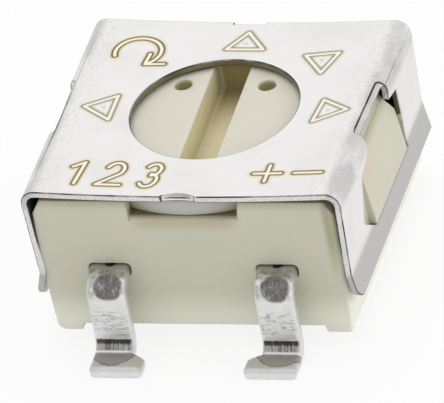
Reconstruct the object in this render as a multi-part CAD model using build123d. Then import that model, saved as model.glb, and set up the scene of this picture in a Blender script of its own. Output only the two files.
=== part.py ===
from build123d import *
import math
import os

os.makedirs("parts", exist_ok=True)

# Single-turn surface-mount trimmer potentiometer, millimetres, +Z up.
# The origin is on the seating plane (the underside of the feet), below the rotor's axis.
# The two outer terminals leave the front (-Y), the wiper terminal leaves the back (+Y).

# Cover: one folded stainless sheet
cover_width = 4.75
cover_depth = 4.33
cover_thickness = 0.10
cover_top_z = 2.60
cover_sag = 0.07
cover_corner_radius = 0.22
cover_crease_x = 2.34
cover_crease_z = 1.18
cover_crease_radius = 0.12
cover_hem_x = 2.41
cover_hem_z = 0.72
skirt_drop = 0.40
hem_front_corner_radius = 0.38
hem_rear_corner_radius = 0.07
rotor_window_radius = 1.225
tie_bar_width = 0.48
tie_bar_recess = 0.05

# Window in each cover wall: a slot that starts in the top and widens into the wall
window_plate_x = 2.235
window_fold_z = 2.34
window_inner_x = 2.00
window_slot_half = 0.62
window_barb_y = 0.75
window_step_z = 2.04
window_slot_bottom_z = 1.99
window_slot_taper = 0.04
window_top_front_y = -1.06
window_top_rear_y = 1.12
window_widest_half = 1.19
window_widest_z = 1.47
window_front_corner = (-1.16, 1.38)
window_bottom_z = 1.07
window_bottom_front_y = -0.76

# Housing: one moulding
body_half_x = 2.235
body_half_y = 2.13
body_top_z = 2.42
body_bottom_z = 0.28
rail_bottom_z = 0.17
rail_inner_x = 1.82
rail_inner_draft = 0.03
rail_outer_x = 2.185
body_draft_z = 1.10
body_shoulder_z = 2.19
body_shoulder_x = 2.10
toe_round_left = 0.13
toe_round_right = 0.03
body_edge_radius = 0.04
cavity_radius = 1.93
cavity_floor_z = 1.35
seal_shelf_z = 2.13
seal_recess_radius = 2.10
notch_left_x = -0.82
notch_right_x = 0.78
notch_right_top_x = 0.86
notch_floor_z = 2.05
notch_shelf_y = 2.02
notch_inner_y = 1.75
post_half_angle = 10.0
post_inner_radius = 1.62
post_top_z = 1.93

# Snap lug and barb pocket on each side of the housing
lug_rear_y = 1.12
lug_front_y = -0.70
lug_bottom_z = 1.09
lug_top_z = 1.36
lug_reach = 0.08
lug_land = 0.06
lug_root = 0.10
pocket_depth = 0.25
pocket_top_y = 0.80
pocket_bottom_y = 1.44
pocket_bottom_z = 1.39
pocket_rear_y = 1.75
groove_end_y = 1.75
groove_hub_radius = 0.50

# Terminals: tinned strip, bent into gull wings
strip_thickness = 0.19
strip_width = 0.58
terminal_pitch = 2.48
strip_z = 1.225
shank_y = 2.515
upper_bend_radius = 0.20
lower_bend_radius = 0.25
foot_end_y = 3.08
foot_width = 0.77
flare_start_y = 2.70
flare_end_y = 2.88
tab_front_y = 1.20
tab_rear_y = 1.60
anchor_width = 0.86
anchor_length = 0.22
anchor_y = 1.78

# Ceramic element and its printed films
ceramic_radius = 1.88
ceramic_thickness = 0.28
film_thickness = 0.02
via_radius = 0.44
via_wall = 0.04
castellation_radius = 0.17
track_inner_radius = 1.12
track_outer_radius = 1.52
track_gap_half_angle = 50.0
pad_gap_half_angle = 33.0
pad_outer_radius = 1.82
collector_outer_radius = 0.80
strip_film_width = 0.50
strip_film_thickness = 0.03
strip_film_end_y = 1.70
solder_top_z = 1.70
solder_edge_radius = 0.06
keyway_clearance_angle = 1.0
keyway_clearance = 0.04

# Rotor: one moulding with a driver slot
head_radius = 1.45
head_top_z = 2.37
head_edge_chamfer = 0.03
flange_radius = 1.88
flange_bottom_z = 1.78
flange_top_z = 2.11
lower_tier_radius = 1.58
lower_tier_top_z = 1.96
turn_half_angle = 105.0
stop_clearance_angle = 1.0
slot_width = 0.56
slot_half_length = 1.37
slot_depth = 0.43
slot_edge_radius = 0.045
dimple_radius = 0.13
dimple_x = 0.63
dimple_y = 0.83
dimple_depth = 0.12
pivot_radius = 0.36
pivot_bottom_z = 1.37
peg_radius = 0.07
peg_x = 0.72
peg_length = 0.07

# Wiper: one stamped spring under the rotor
wiper_sheet = 0.04
wiper_inner_radius = 0.46
wiper_outer_radius = 0.96
wiper_arm_width = 0.52
wiper_finger_gap = 0.05
contact_gap = 0.008
finger_slit_x = 0.12
finger_slit_start_y = 1.14
collector_finger_width = 0.30
collector_finger_root_y = -0.84
collector_window_half = 0.20
collector_window_end_y = -0.90

# Seal: silicone ring under the cover
seal_inner_radius = 1.52
seal_outer_radius = 2.08
seal_top_z = 2.42
seal_edge_radius = 0.06

REACH = 4.0
OVERCUT = 0.10
MATCH = 0.01
ceramic_top_z = cavity_floor_z + ceramic_thickness
film_top_z = ceramic_top_z + film_thickness
tab_top_z = strip_z + strip_thickness / 2
terminal_x = terminal_pitch / 2
castellation_y = math.sqrt(ceramic_radius**2 - terminal_x**2)


def prism_along_y(points, y_low, y_high):
    """A polygon given in (x, z), extruded from y_low to y_high."""
    outline = make_face(Polyline(*points, close=True))
    return Pos(0, y_high, 0) * extrude(Plane.XZ * outline, amount=y_high - y_low)


def prism_along_x(points, x_low, x_high):
    """A polygon given in (y, z), extruded from x_low to x_high."""
    outline = make_face(Polyline(*points, close=True))
    return Pos(x_low, 0, 0) * extrude(Plane.YZ * outline, amount=x_high - x_low)


def disc(radius, z_low, z_high, x=0.0, y=0.0):
    return Pos(x, y, z_low) * extrude(Circle(radius), amount=z_high - z_low)


def ring(inner, outer, z_low, z_high):
    return disc(outer, z_low, z_high) - disc(inner, z_low, z_high)


def block(x_low, x_high, y_low, y_high, z_low, z_high):
    centre = Pos((x_low + x_high) / 2, (y_low + y_high) / 2, (z_low + z_high) / 2)
    return centre * Box(x_high - x_low, y_high - y_low, z_high - z_low)


def sector(inner, outer, start, span, z_low, z_high):
    """A ring sector from the angle start, counted from +X, over span degrees."""
    outer_arc = CenterArc((0, 0), outer, start, span)
    inner_arc = CenterArc((0, 0), inner, start + span, -span)
    edges = [
        outer_arc,
        Line(outer_arc @ 1, inner_arc @ 0),
        inner_arc,
        Line(inner_arc @ 1, outer_arc @ 0),
    ]
    return Pos(0, 0, z_low) * extrude(make_face(edges), amount=z_high - z_low)


def mirrored_x(shape):
    return mirror(shape, about=Plane.YZ)


def cover_section():
    """The folded sheet seen from the front: bowed top, leaning walls, flared hems."""
    half = cover_width / 2
    flare = (cover_hem_x - cover_crease_x) / (cover_crease_z - cover_hem_z)
    skirt_z = cover_hem_z - skirt_drop
    skirt_x = cover_hem_x + flare * skirt_drop
    edges = [
        ThreePointArc((-half, cover_top_z), (0, cover_top_z - cover_sag), (half, cover_top_z)),
        Line((half, cover_top_z), (cover_crease_x, cover_crease_z)),
        Line((cover_crease_x, cover_crease_z), (skirt_x, skirt_z)),
        Line((skirt_x, skirt_z), (-skirt_x, skirt_z)),
        Line((-skirt_x, skirt_z), (-cover_crease_x, cover_crease_z)),
        Line((-cover_crease_x, cover_crease_z), (-half, cover_top_z)),
    ]
    outer = make_face(edges)
    corners = [v for v in outer.vertices() if v.Y > cover_top_z - MATCH]
    outer = fillet(corners, cover_corner_radius)
    creases = [v for v in outer.vertices() if abs(v.Y - cover_crease_z) < MATCH]
    outer = fillet(creases, cover_crease_radius)
    inner = offset(outer, amount=-cover_thickness)
    return outer - inner


def window_cutter():
    """The right wall's window: a slot through the fold, wider in the wall below it."""
    front = -window_slot_half
    slot_bottom = [
        (front + window_slot_taper, window_slot_bottom_z),
        (window_barb_y, window_slot_bottom_z),
    ]
    slot_top = [(window_slot_half, cover_top_z + OVERCUT), (front, cover_top_z + OVERCUT)]
    slot = prism_along_x(slot_bottom + slot_top, window_plate_x, REACH)
    fold_line = [(window_slot_half + window_slot_taper, window_fold_z), (front, window_fold_z)]
    slot_in_wall = prism_along_x(slot_bottom + fold_line, window_inner_x, REACH)
    opening = prism_along_x(
        [
            (window_top_front_y, window_step_z),
            (-window_widest_half, window_widest_z),
            window_front_corner,
            (window_bottom_front_y, window_bottom_z),
            (window_widest_half, window_bottom_z),
            (window_widest_half, window_widest_z),
            (window_top_rear_y, window_step_z),
        ],
        window_inner_x,
        REACH,
    )
    return slot + slot_in_wall + opening


def hem_corner_cutter(y_end, radius):
    """Rounds one lower corner of a hem: the square corner without its quarter disc."""
    sign = 1 if y_end > 0 else -1
    centre_y = y_end - sign * radius
    centre_z = cover_hem_z + radius
    y_low, y_high = sorted((y_end + sign * OVERCUT, centre_y))
    square = block(window_inner_x, REACH, y_low, y_high, cover_hem_z - OVERCUT, centre_z)
    return square - Pos(0, centre_y, centre_z) * Rot(0, 90, 0) * extrude(Circle(radius), amount=REACH)


def make_cover():
    half_depth = cover_depth / 2
    cover = extrude(Plane.XZ * cover_section(), amount=half_depth, both=True)
    cover -= block(-REACH, REACH, -REACH, REACH, -REACH, cover_hem_z)
    cover -= disc(rotor_window_radius, body_top_z, REACH)
    for cutter in (
        window_cutter(),
        hem_corner_cutter(-half_depth, hem_front_corner_radius),
        hem_corner_cutter(half_depth, hem_rear_corner_radius),
    ):
        cover -= cutter
        cover -= mirrored_x(cutter)
    half_tie = tie_bar_width / 2
    for sign in (-1, 1):
        y_low, y_high = sorted((sign * REACH, sign * (half_depth - tie_bar_recess)))
        cover -= block(-half_tie, half_tie, y_low, y_high, body_top_z, REACH)
    return cover


def housing_block():
    """The outer moulding: chamfered shoulders, drafted lower sides, two stand-off rails."""
    profile = [
        (-body_shoulder_x, body_top_z),
        (-body_half_x, body_shoulder_z),
        (-body_half_x, body_draft_z),
        (-rail_outer_x, rail_bottom_z),
        (-rail_inner_x, rail_bottom_z),
        (-rail_inner_x + rail_inner_draft, body_bottom_z),
        (rail_inner_x - rail_inner_draft, body_bottom_z),
        (rail_inner_x, rail_bottom_z),
        (rail_outer_x, rail_bottom_z),
        (body_half_x, body_draft_z),
        (body_half_x, body_shoulder_z),
        (body_shoulder_x, body_top_z),
    ]
    body = prism_along_y(profile, -body_half_y, body_half_y)
    for toe_x, radius in ((-rail_outer_x, toe_round_left), (rail_outer_x, toe_round_right)):
        low_edges = [e for e in body.edges().filter_by(Axis.Y) if e.center().Z < rail_bottom_z + MATCH]
        toe = [e for e in low_edges if abs(e.center().X - toe_x) < MATCH]
        body = fillet(toe, radius)
    upright = [
        e
        for e in body.edges().filter_by(Axis.Z)
        if abs(abs(e.center().X) - body_half_x) < MATCH and abs(abs(e.center().Y) - body_half_y) < MATCH
    ]
    return fillet(upright, body_edge_radius)


def snap_lug():
    """A ramped lug that the cover's window clicks over, on the right side."""
    root_x = body_half_x - lug_root
    crest_x = body_half_x + lug_reach
    outline = [
        (root_x, lug_bottom_z),
        (crest_x, lug_bottom_z),
        (crest_x, lug_bottom_z + lug_land),
        (body_half_x, lug_top_z),
        (root_x, lug_top_z),
    ]
    return prism_along_y(outline, lug_front_y, lug_rear_y)


def barb_pocket():
    """The recess behind the cover's barb, open to the top, on the right side."""
    outline = [
        (pocket_top_y, body_top_z + OVERCUT),
        (pocket_top_y, body_shoulder_z),
        (pocket_bottom_y, pocket_bottom_z),
        (pocket_rear_y, pocket_bottom_z),
        (pocket_rear_y, body_top_z + OVERCUT),
    ]
    return prism_along_x(outline, body_half_x - pocket_depth, REACH)


def wall_notch():
    """The front wall's shallow top notch, with a floor that falls towards the outside."""
    outline = [
        (notch_left_x, notch_floor_z),
        (notch_right_x, notch_floor_z),
        (notch_right_top_x, body_top_z + OVERCUT),
        (notch_left_x, body_top_z + OVERCUT),
    ]
    notch = prism_along_y(outline, -REACH, -notch_inner_y)
    floor = prism_along_x(
        [
            (-REACH, notch_floor_z - OVERCUT),
            (-REACH, notch_floor_z),
            (-body_half_y, notch_floor_z),
            (-notch_shelf_y, seal_shelf_z),
            (0, seal_shelf_z),
            (0, notch_floor_z - OVERCUT),
        ],
        -REACH,
        REACH,
    )
    return notch - floor


def make_housing(terminals):
    body = housing_block()
    lug = snap_lug()
    body += lug
    body += mirrored_x(lug)
    pocket = barb_pocket()
    body -= pocket
    body -= mirrored_x(pocket)
    body -= disc(cavity_radius, cavity_floor_z, REACH)
    body -= disc(seal_recess_radius, seal_shelf_z, REACH)
    notch = wall_notch()
    body -= notch
    body -= Rot(0, 0, 180) * notch
    post_start = -90 - post_half_angle
    post_span = 2 * post_half_angle
    post_radius = cavity_radius + OVERCUT
    body += sector(post_inner_radius, post_radius, post_start, post_span, cavity_floor_z, post_top_z)
    cavity = disc(cavity_radius, 0, REACH)
    for x, y in castellation_centres():
        body -= disc(castellation_radius, tab_top_z, cavity_floor_z, x, y) & cavity
    half = strip_film_width / 2
    body -= block(-half, half, -via_radius, groove_end_y, tab_top_z, cavity_floor_z)
    body -= disc(groove_hub_radius, tab_top_z, cavity_floor_z)
    for terminal in terminals:
        body -= terminal
    return body


def castellation_centres():
    return [(-terminal_x, -castellation_y), (0.0, ceramic_radius), (terminal_x, -castellation_y)]


def terminal_strip(tab_end_y):
    """One gull-wing terminal on the centre plane, leaving the front of the housing."""
    foot_z = strip_thickness / 2
    path = FilletPolyline(
        (0, -tab_end_y, strip_z),
        (0, -shank_y, strip_z),
        (0, -shank_y, foot_z),
        (0, -foot_end_y, foot_z),
        radius=[upper_bend_radius, lower_bend_radius],
    )
    start = Plane((0, -tab_end_y, strip_z), x_dir=(1, 0, 0), z_dir=(0, -1, 0))
    strip = sweep(start * Rectangle(strip_width, strip_thickness), path=path)
    anchor = block(
        -anchor_width / 2,
        anchor_width / 2,
        -anchor_y - anchor_length / 2,
        -anchor_y + anchor_length / 2,
        strip_z - strip_thickness / 2,
        strip_z + strip_thickness / 2,
    )
    return strip + anchor


def foot_flare(side, extra):
    """The foot's extra width towards side, with a slanted shoulder."""
    edge = side * strip_width / 2
    wide = edge + side * extra
    outline = make_face(
        Polyline(
            (0, -flare_start_y),
            (edge, -flare_start_y),
            (wide, -flare_end_y),
            (wide, -foot_end_y),
            (0, -foot_end_y),
            close=True,
        )
    )
    return extrude(outline, amount=strip_thickness)


def make_terminals():
    extra = foot_width - strip_width
    front = terminal_strip(tab_front_y)
    terminal_1 = Pos(-terminal_x, 0, 0) * (front + foot_flare(1, extra))
    terminal_3 = Pos(terminal_x, 0, 0) * (front + foot_flare(-1, extra))
    rear = terminal_strip(tab_rear_y) + foot_flare(1, extra / 2) + foot_flare(-1, extra / 2)
    terminal_2 = Rot(0, 0, 180) * rear
    return terminal_1, terminal_2, terminal_3


def make_ceramic():
    ceramic = ring(via_radius, ceramic_radius, cavity_floor_z, ceramic_top_z)
    for x, y in castellation_centres():
        ceramic -= disc(castellation_radius, cavity_floor_z, ceramic_top_z, x, y)
    keyway_half = post_half_angle + keyway_clearance_angle
    keyway_radius = post_inner_radius - keyway_clearance
    ceramic -= sector(keyway_radius, REACH, -90 - keyway_half, 2 * keyway_half, 0, REACH)
    return ceramic


def make_track():
    span = 360 - 2 * track_gap_half_angle
    start = -90 + track_gap_half_angle
    return sector(track_inner_radius, track_outer_radius, start, span, ceramic_top_z, film_top_z)


def make_end_pad(side):
    """A printed conductor from one end of the track to its castellation."""
    span = track_gap_half_angle - pad_gap_half_angle
    start = -90 + pad_gap_half_angle if side > 0 else -90 - track_gap_half_angle
    pad = sector(track_inner_radius, pad_outer_radius, start, span, ceramic_top_z, film_top_z)
    return pad - disc(castellation_radius, 0, REACH, side * terminal_x, -castellation_y)


def make_collector():
    """The wiper's conductor: a ring on top, a plated hole and a strip underneath."""
    top = ring(via_radius - via_wall, collector_outer_radius, ceramic_top_z, film_top_z)
    tube = ring(via_radius - via_wall, via_radius, tab_top_z, film_top_z)
    strip_low = cavity_floor_z - strip_film_thickness
    half = strip_film_width / 2
    strip = block(-half, half, 0, strip_film_end_y, strip_low, cavity_floor_z)
    underside = strip + disc(via_radius, strip_low, cavity_floor_z)
    underside -= disc(via_radius - via_wall, 0, REACH)
    return top + tube + underside


def make_solder(x, y):
    """Solder that fills a castellation and stands a little above the pad."""
    fill = disc(castellation_radius, tab_top_z, solder_top_z, x, y)
    dome = fillet(fill.edges().filter_by(GeomType.CIRCLE).sort_by(Axis.Z)[-1:], solder_edge_radius)
    return dome & disc(cavity_radius, 0, REACH)


def make_rotor():
    rotor = disc(head_radius, flange_bottom_z, head_top_z)
    rotor = chamfer(rotor.edges().filter_by(GeomType.CIRCLE).sort_by(Axis.Z)[-1:], head_edge_chamfer)
    rotor += disc(flange_radius, flange_bottom_z, flange_top_z)
    free_half = turn_half_angle + post_half_angle + stop_clearance_angle
    rotor -= sector(lower_tier_radius, REACH, -90 - free_half, 2 * free_half, 0, lower_tier_top_z)
    rotor += disc(pivot_radius, pivot_bottom_z, flange_bottom_z)
    slot_half = slot_width / 2
    slot_floor_z = head_top_z - slot_depth
    rotor -= block(-slot_half, slot_half, -slot_half_length, slot_half_length, slot_floor_z, REACH)
    top_edges = [e for e in rotor.edges().filter_by(Axis.Y) if abs(e.center().Z - head_top_z) < MATCH]
    rims = [e for e in top_edges if abs(abs(e.center().X) - slot_half) < MATCH]
    rotor = fillet(rims, slot_edge_radius)
    for side in (-1, 1):
        rotor -= disc(dimple_radius, head_top_z - dimple_depth, REACH, side * dimple_x, dimple_y)
        rotor += disc(peg_radius, flange_bottom_z - peg_length, flange_bottom_z, side * peg_x, 0)
    return rotor


def bent_strip(points, width):
    """A strip of wiper sheet in the centre plane, through points in (y, z)."""
    path = Polyline(*[(0, y, z) for y, z in points])
    start = Plane(path @ 0, x_dir=(1, 0, 0), z_dir=path % 0)
    return sweep(start * Rectangle(width, wiper_sheet), path=path, transition=Transition.RIGHT)


def make_wiper():
    plate_z = flange_bottom_z - wiper_sheet / 2
    touch_z = film_top_z + contact_gap + wiper_sheet / 2
    track_y = (track_inner_radius + track_outer_radius) / 2
    wiper = ring(wiper_inner_radius, wiper_outer_radius, flange_bottom_z - wiper_sheet, flange_bottom_z)
    arm_points = [
        (wiper_outer_radius - wiper_sheet, plate_z),
        (track_y - 0.20, plate_z),
        (track_y, touch_z),
        (track_y + 0.12, touch_z + 0.05),
    ]
    arm = bent_strip(arm_points, wiper_arm_width)
    half_gap = wiper_finger_gap / 2
    for slit_x in (-finger_slit_x, finger_slit_x):
        arm -= block(slit_x - half_gap, slit_x + half_gap, finger_slit_start_y, REACH, 0, REACH)
    wiper += arm
    wiper -= block(-collector_window_half, collector_window_half, collector_window_end_y, 0, 0, REACH)
    collector_y = -(via_radius + collector_outer_radius) / 2
    finger_points = [
        (-wiper_outer_radius + wiper_sheet, plate_z),
        (collector_finger_root_y, plate_z),
        (collector_y, touch_z),
        (collector_y + 0.08, touch_z + 0.03),
    ]
    wiper += bent_strip(finger_points, collector_finger_width)
    for side in (-1, 1):
        wiper -= disc(peg_radius, 0, REACH, side * peg_x, 0)
    return wiper


def make_seal():
    seal = ring(seal_inner_radius, seal_outer_radius, seal_shelf_z, seal_top_z)
    rims = [e for e in seal.edges().filter_by(GeomType.CIRCLE) if abs(e.radius - seal_outer_radius) < MATCH]
    return fillet(rims, seal_edge_radius)


def build_parts():
    terminal_1, terminal_2, terminal_3 = make_terminals()
    centres = castellation_centres()
    parts = {
        "housing": make_housing([terminal_1, terminal_2, terminal_3]),
        "cover": make_cover(),
        "rotor": make_rotor(),
        "seal": make_seal(),
        "wiper": make_wiper(),
        "ceramic_element": make_ceramic(),
        "resistive_track": make_track(),
        "end_pad_1": make_end_pad(-1),
        "end_pad_3": make_end_pad(1),
        "collector": make_collector(),
        "terminal_1": terminal_1,
        "terminal_2": terminal_2,
        "terminal_3": terminal_3,
    }
    for number, (x, y) in zip((1, 2, 3), centres):
        parts["solder_joint_%d" % number] = make_solder(x, y)
    return parts


for name, part in build_parts().items():
    export_step(part, "parts/" + name + ".step")
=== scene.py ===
import math

import bmesh
import bpy
import numpy as np
from mathutils import Matrix, Vector, noise


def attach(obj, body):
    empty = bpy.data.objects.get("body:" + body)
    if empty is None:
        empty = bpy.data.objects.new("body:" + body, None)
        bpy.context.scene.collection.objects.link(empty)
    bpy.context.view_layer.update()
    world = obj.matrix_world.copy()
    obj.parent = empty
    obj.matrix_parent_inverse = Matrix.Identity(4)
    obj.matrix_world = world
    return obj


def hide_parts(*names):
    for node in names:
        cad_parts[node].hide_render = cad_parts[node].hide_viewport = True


bl_info = {
    "name": "Trimmer potentiometer",
    "version": (1, 0, 0),
    "blender": (4, 5, 0),
    "location": "3D View > Sidebar > Trimmer",
    "description": "Dresses the packed trimmer and sets it on a pale studio floor",
    "category": "Object",
}

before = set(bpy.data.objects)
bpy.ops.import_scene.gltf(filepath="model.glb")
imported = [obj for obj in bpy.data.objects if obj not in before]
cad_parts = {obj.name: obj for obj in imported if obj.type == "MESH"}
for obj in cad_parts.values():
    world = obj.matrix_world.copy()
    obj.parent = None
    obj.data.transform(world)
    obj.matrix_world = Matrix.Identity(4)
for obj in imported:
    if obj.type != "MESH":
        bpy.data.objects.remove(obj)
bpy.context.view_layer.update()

# Lengths are in millimetres until a mesh is finished, and REACH lies beyond the part
MM = 0.001
REACH = 4.0
ROUND = 192
WELD = 0.0004

# Cover sheet
COVER_HALF_X = 2.375
COVER_HALF_Y = 2.165
COVER_TOP = 2.60
COVER_SAG = 0.07
COVER_SHEET = 0.10
COVER_CORNER = 0.22
LEFT_CREASE = (-2.29, 1.18)
RIGHT_CREASE = (2.34, 1.18)
CREASE_RADIUS = 0.12
HEM = (2.41, 0.72)
FRONT_HEM_ROUND = 0.38
REAR_HEM_ROUND = 0.07
HOLE_RADIUS = 1.225
BOW_STEPS = 16
PLATE_SPAN = (2.3, 2.9)
WALL_INSIDE = 2.0
SLOT_INNER_X = 2.212
SLOT_ROUND = 0.10
SLOT_ROUND_CENTRE = (2.335, 0.60)
SLOT_FRONT = -0.60
SLOT_REAR = 0.70
SLOT_LEAN = 0.5
SLOT_LEAN_FROM = 2.58
TIE_BAR_HALF = 0.24
TIE_BAR_RECESS = 0.05
TORN_FROM = -0.27
TORN_TO = 0.22
TORN_WIDTH = 0.49
TORN_STEPS = 16

# Engraved marks
MARK_PITCH = 0.0115
MARK_REACH = 0.11
MARK_DEPTH = 0.008
SKIN = 0.0016
SKIN_FADE = 0.02
SUNK = -0.003
RIDGE_HEIGHT = 0.005
RIDGE_AT = 0.040
RIDGE_WIDTH = 0.014
FAR = 1e3

# Housing
BODY_HALF_X = 2.235
BODY_HALF_Y = 2.13
BODY_TOP = 2.42
BODY_BOTTOM = 0.28
DRAFT_TOP = 1.10
SHOULDER = (2.10, 2.19)
RAIL_BOTTOM = 0.17
RAIL_OUTER_X = 2.185
RAIL_INNER_X = (1.82, 1.79)
LEFT_TOE = 0.13
RIGHT_TOE = 0.03
CAVITY_RADIUS = 1.93
CAVITY_FLOOR = 1.35
SHELF = 2.13
SEAL_RECESS_RADIUS = 2.10
NOTCH_LEFT = -0.82
NOTCH_RIGHT = 0.765
NOTCH_RIGHT_TOP = 0.845
NOTCH_SPAN = (1.9, 2.52)
NOTCH_INNER_Y = 1.75
NOTCH_LIP = 0.06
CORNER_ROUND = 0.08
LUG_SPAN = (-0.74, 1.13)
POCKET_INNER_X = 1.985
POST_RADII = (1.62, 2.0)
POST_HALF_ANGLE = 10
POST_TOP = 1.93
PASSAGE_SIDE_GAP = 0.022
PASSAGE_FACE_GAP = 0.016
PASSAGE_ROUND = 0.08

# Rotor and seal
ROTOR_TOP = 2.405
HEAD_RADIUS = 1.45
HEAD_TOP_RADIUS = 1.42
HEAD_CHAMFER = 0.03
FLANGE_RADIUS = 1.88
FLANGE_TOP = 2.11
FLANGE_BOTTOM = 1.78
PIVOT_RADIUS = 0.36
PIVOT_BOTTOM = 1.37
LOWER_TIER_RADIUS = 1.58
LOWER_TIER_TOP = 1.96
FREE_HALF_ANGLE = 116
DRIVER_SLOT_X = (-0.305, 0.235)
DRIVER_SLOT_HALF_LENGTH = 1.37
DRIVER_SLOT_FLOOR = 1.94
DRIVER_SLOT_TURN = 1.0
DIMPLES_X = (-0.69, 0.56)
DIMPLE_Y = 0.785
DIMPLE_DEPTH = 0.20
DIMPLE_FLOOR_ROUND = 0.04
DIMPLE_FLOOR_CENTRE = (0.09, 0.16)
DIMPLE_LIP = 0.03
DIMPLE_LIP_CENTRE = (0.16, 0.03)
DIMPLE_MOUTH = 0.159
RIVET_X = 0.72
RIVET_RADIUS = 0.07
RIVET_SPAN = (1.71, 1.80)
SEAL_INNER = 1.52
SEAL_ROUND = 0.06
SEAL_ROUND_CENTRES = ((2.02, 2.19), (2.02, 2.36))

# Terminals
STRIP = 0.19
STRIP_WIDTH = 0.58
STRIP_ROUND = 0.06
LEAST_ROUND = 0.012
END_ROUND = 0.035
STRIP_SWAY = 0.028
SWAY_RUN = 0.3
UPPER_BEND = 0.20
LOWER_BEND = 0.25
COIN_X = 0.03
COIN_RUN = 0.44
COIN_RADIUS = 0.205
COIN_DEPTH = 0.010
NICK_DEPTH = 0.03
NICK_HALF = (0.07, 0.05)
WRINKLE_DEPTH = 0.004
WRINKLED_RUN = (0.80, 1.32)
STRIP_Z = 1.225
SHANK_Y = 2.515
FOOT_END_Y = 3.08
FLARE_START_Y = 2.68
FLARE_LENGTH = 0.15
FLARE = 0.19
TERMINAL_X = 1.24
FRONT_TAB_END = 1.2
REAR_TAB_END = 1.6
ANCHOR_NEAR = 1.67
ANCHOR_FAR = 1.89
ANCHOR_STEP = 0.002
ANCHOR_EXTRA = 0.14

# Stage
FLOOR_HALF = 0.6
PAPER = (0.90, 0.90, 0.90, 1.0)
PAPER_GLOW = 0.86
AIM_HEIGHT = 0.9425
AIM_SIDE = -0.1507
AIM_SHIFT = (-0.0045, 0.0073)
LENS = 1499.0
SENSOR = 36.0
LAMP_AIM = (0, 0, 0.0015)

# Finish, two tones, metallic, roughness, pattern scale and nodes of the pieces inside the housing
INNER_FINISHES = (
    ("alumina", (0.80, 0.79, 0.75), (0.72, 0.71, 0.67), 0.0, 0.55, 12.0, ["ceramic_element"]),
    ("cermet_film", (0.03, 0.03, 0.032), (0.06, 0.06, 0.062), 0.0, 0.35, 25.0, ["resistive_track"]),
    ("wiper_metal", (0.80, 0.64, 0.36), (0.72, 0.57, 0.32), 1.0, 0.22, 18.0, ["wiper"]),
    (
        "conductor_film", (0.66, 0.64, 0.60), (0.52, 0.50, 0.46), 0.7, 0.45, 20.0,
        ["end_pad_1", "end_pad_3", "collector"],
    ),
    (
        "solder", (0.62, 0.62, 0.63), (0.50, 0.50, 0.51), 1.0, 0.25, 10.0,
        ["solder_joint_1", "solder_joint_2", "solder_joint_3"],
    ),
)


class TrimmerCover(bpy.types.PropertyGroup):
    """Sizes and colours of the folded cover and its engraved marks."""

    edge_round: bpy.props.FloatProperty(
        name="Edge rounding",
        description="Rounding of the sheared edges",
        default=0.000016,
        precision=6,
        unit="LENGTH",
    )
    steel: bpy.props.FloatVectorProperty(
        name="Steel",
        description="Colour of the flat sheet",
        default=(0.85, 0.842, 0.828),
        size=3,
        subtype="COLOR",
    )
    worn_steel: bpy.props.FloatVectorProperty(
        name="Worn steel",
        description="Colour along the bends",
        default=(0.55, 0.54, 0.53),
        size=3,
        subtype="COLOR",
    )
    burnt: bpy.props.FloatVectorProperty(
        name="Burnt rim",
        description="Heat tint beside a stroke",
        default=(0.17, 0.125, 0.055),
        size=3,
        subtype="COLOR",
    )


class TrimmerPlastics(bpy.types.PropertyGroup):
    """Colours of the moulded pieces and the seal."""

    housing: bpy.props.FloatVectorProperty(
        name="Housing",
        description="Ivory moulding",
        default=(0.72, 0.71, 0.57),
        size=3,
        subtype="COLOR",
    )
    rotor: bpy.props.FloatVectorProperty(
        name="Rotor",
        description="Cream moulding",
        default=(0.70, 0.665, 0.56),
        size=3,
        subtype="COLOR",
    )
    seal: bpy.props.FloatVectorProperty(
        name="Seal",
        description="Translucent silicone",
        default=(0.62, 0.61, 0.575),
        size=3,
        subtype="COLOR",
    )
    edge_round: bpy.props.FloatProperty(
        name="Edge rounding",
        description="Rounding of moulded edges",
        default=0.00002,
        precision=6,
        unit="LENGTH",
    )


class TrimmerTerminals(bpy.types.PropertyGroup):
    """Finish of the tinned terminals."""

    tin: bpy.props.FloatVectorProperty(
        name="Tin",
        description="Colour of clean tin plating",
        default=(0.80, 0.80, 0.79),
        size=3,
        subtype="COLOR",
    )
    scuffed_tin: bpy.props.FloatVectorProperty(
        name="Scuffed tin",
        description="Colour where tools pressed it",
        default=(0.22, 0.215, 0.21),
        size=3,
        subtype="COLOR",
    )
    scored_tin: bpy.props.FloatVectorProperty(
        name="Scored tin",
        description="Colour in the scored lower bend",
        default=(0.045, 0.042, 0.04),
        size=3,
        subtype="COLOR",
    )


class TrimmerStage(bpy.types.PropertyGroup):
    """Camera and light."""

    azimuth: bpy.props.FloatProperty(
        name="Azimuth",
        description="Camera angle round the part",
        default=math.radians(20.3036),
        subtype="ANGLE",
    )
    elevation: bpy.props.FloatProperty(
        name="Elevation",
        description="Camera angle above the floor",
        default=math.radians(33.7955),
        subtype="ANGLE",
    )
    roll: bpy.props.FloatProperty(
        name="Roll",
        description="Camera turn about its own line of sight",
        default=math.radians(-11.1392),
        subtype="ANGLE",
    )
    distance: bpy.props.FloatProperty(
        name="Distance",
        description="Camera distance from its target",
        default=0.26413,
        unit="LENGTH",
    )
    daylight: bpy.props.FloatProperty(
        name="Room light",
        description="Strength of the even light from all round",
        default=0.62,
    )
    softbox: bpy.props.FloatProperty(
        name="Softbox power",
        description="Power of the overhead lamp",
        default=0.12,
        unit="POWER",
    )


# Shading helpers


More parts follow.
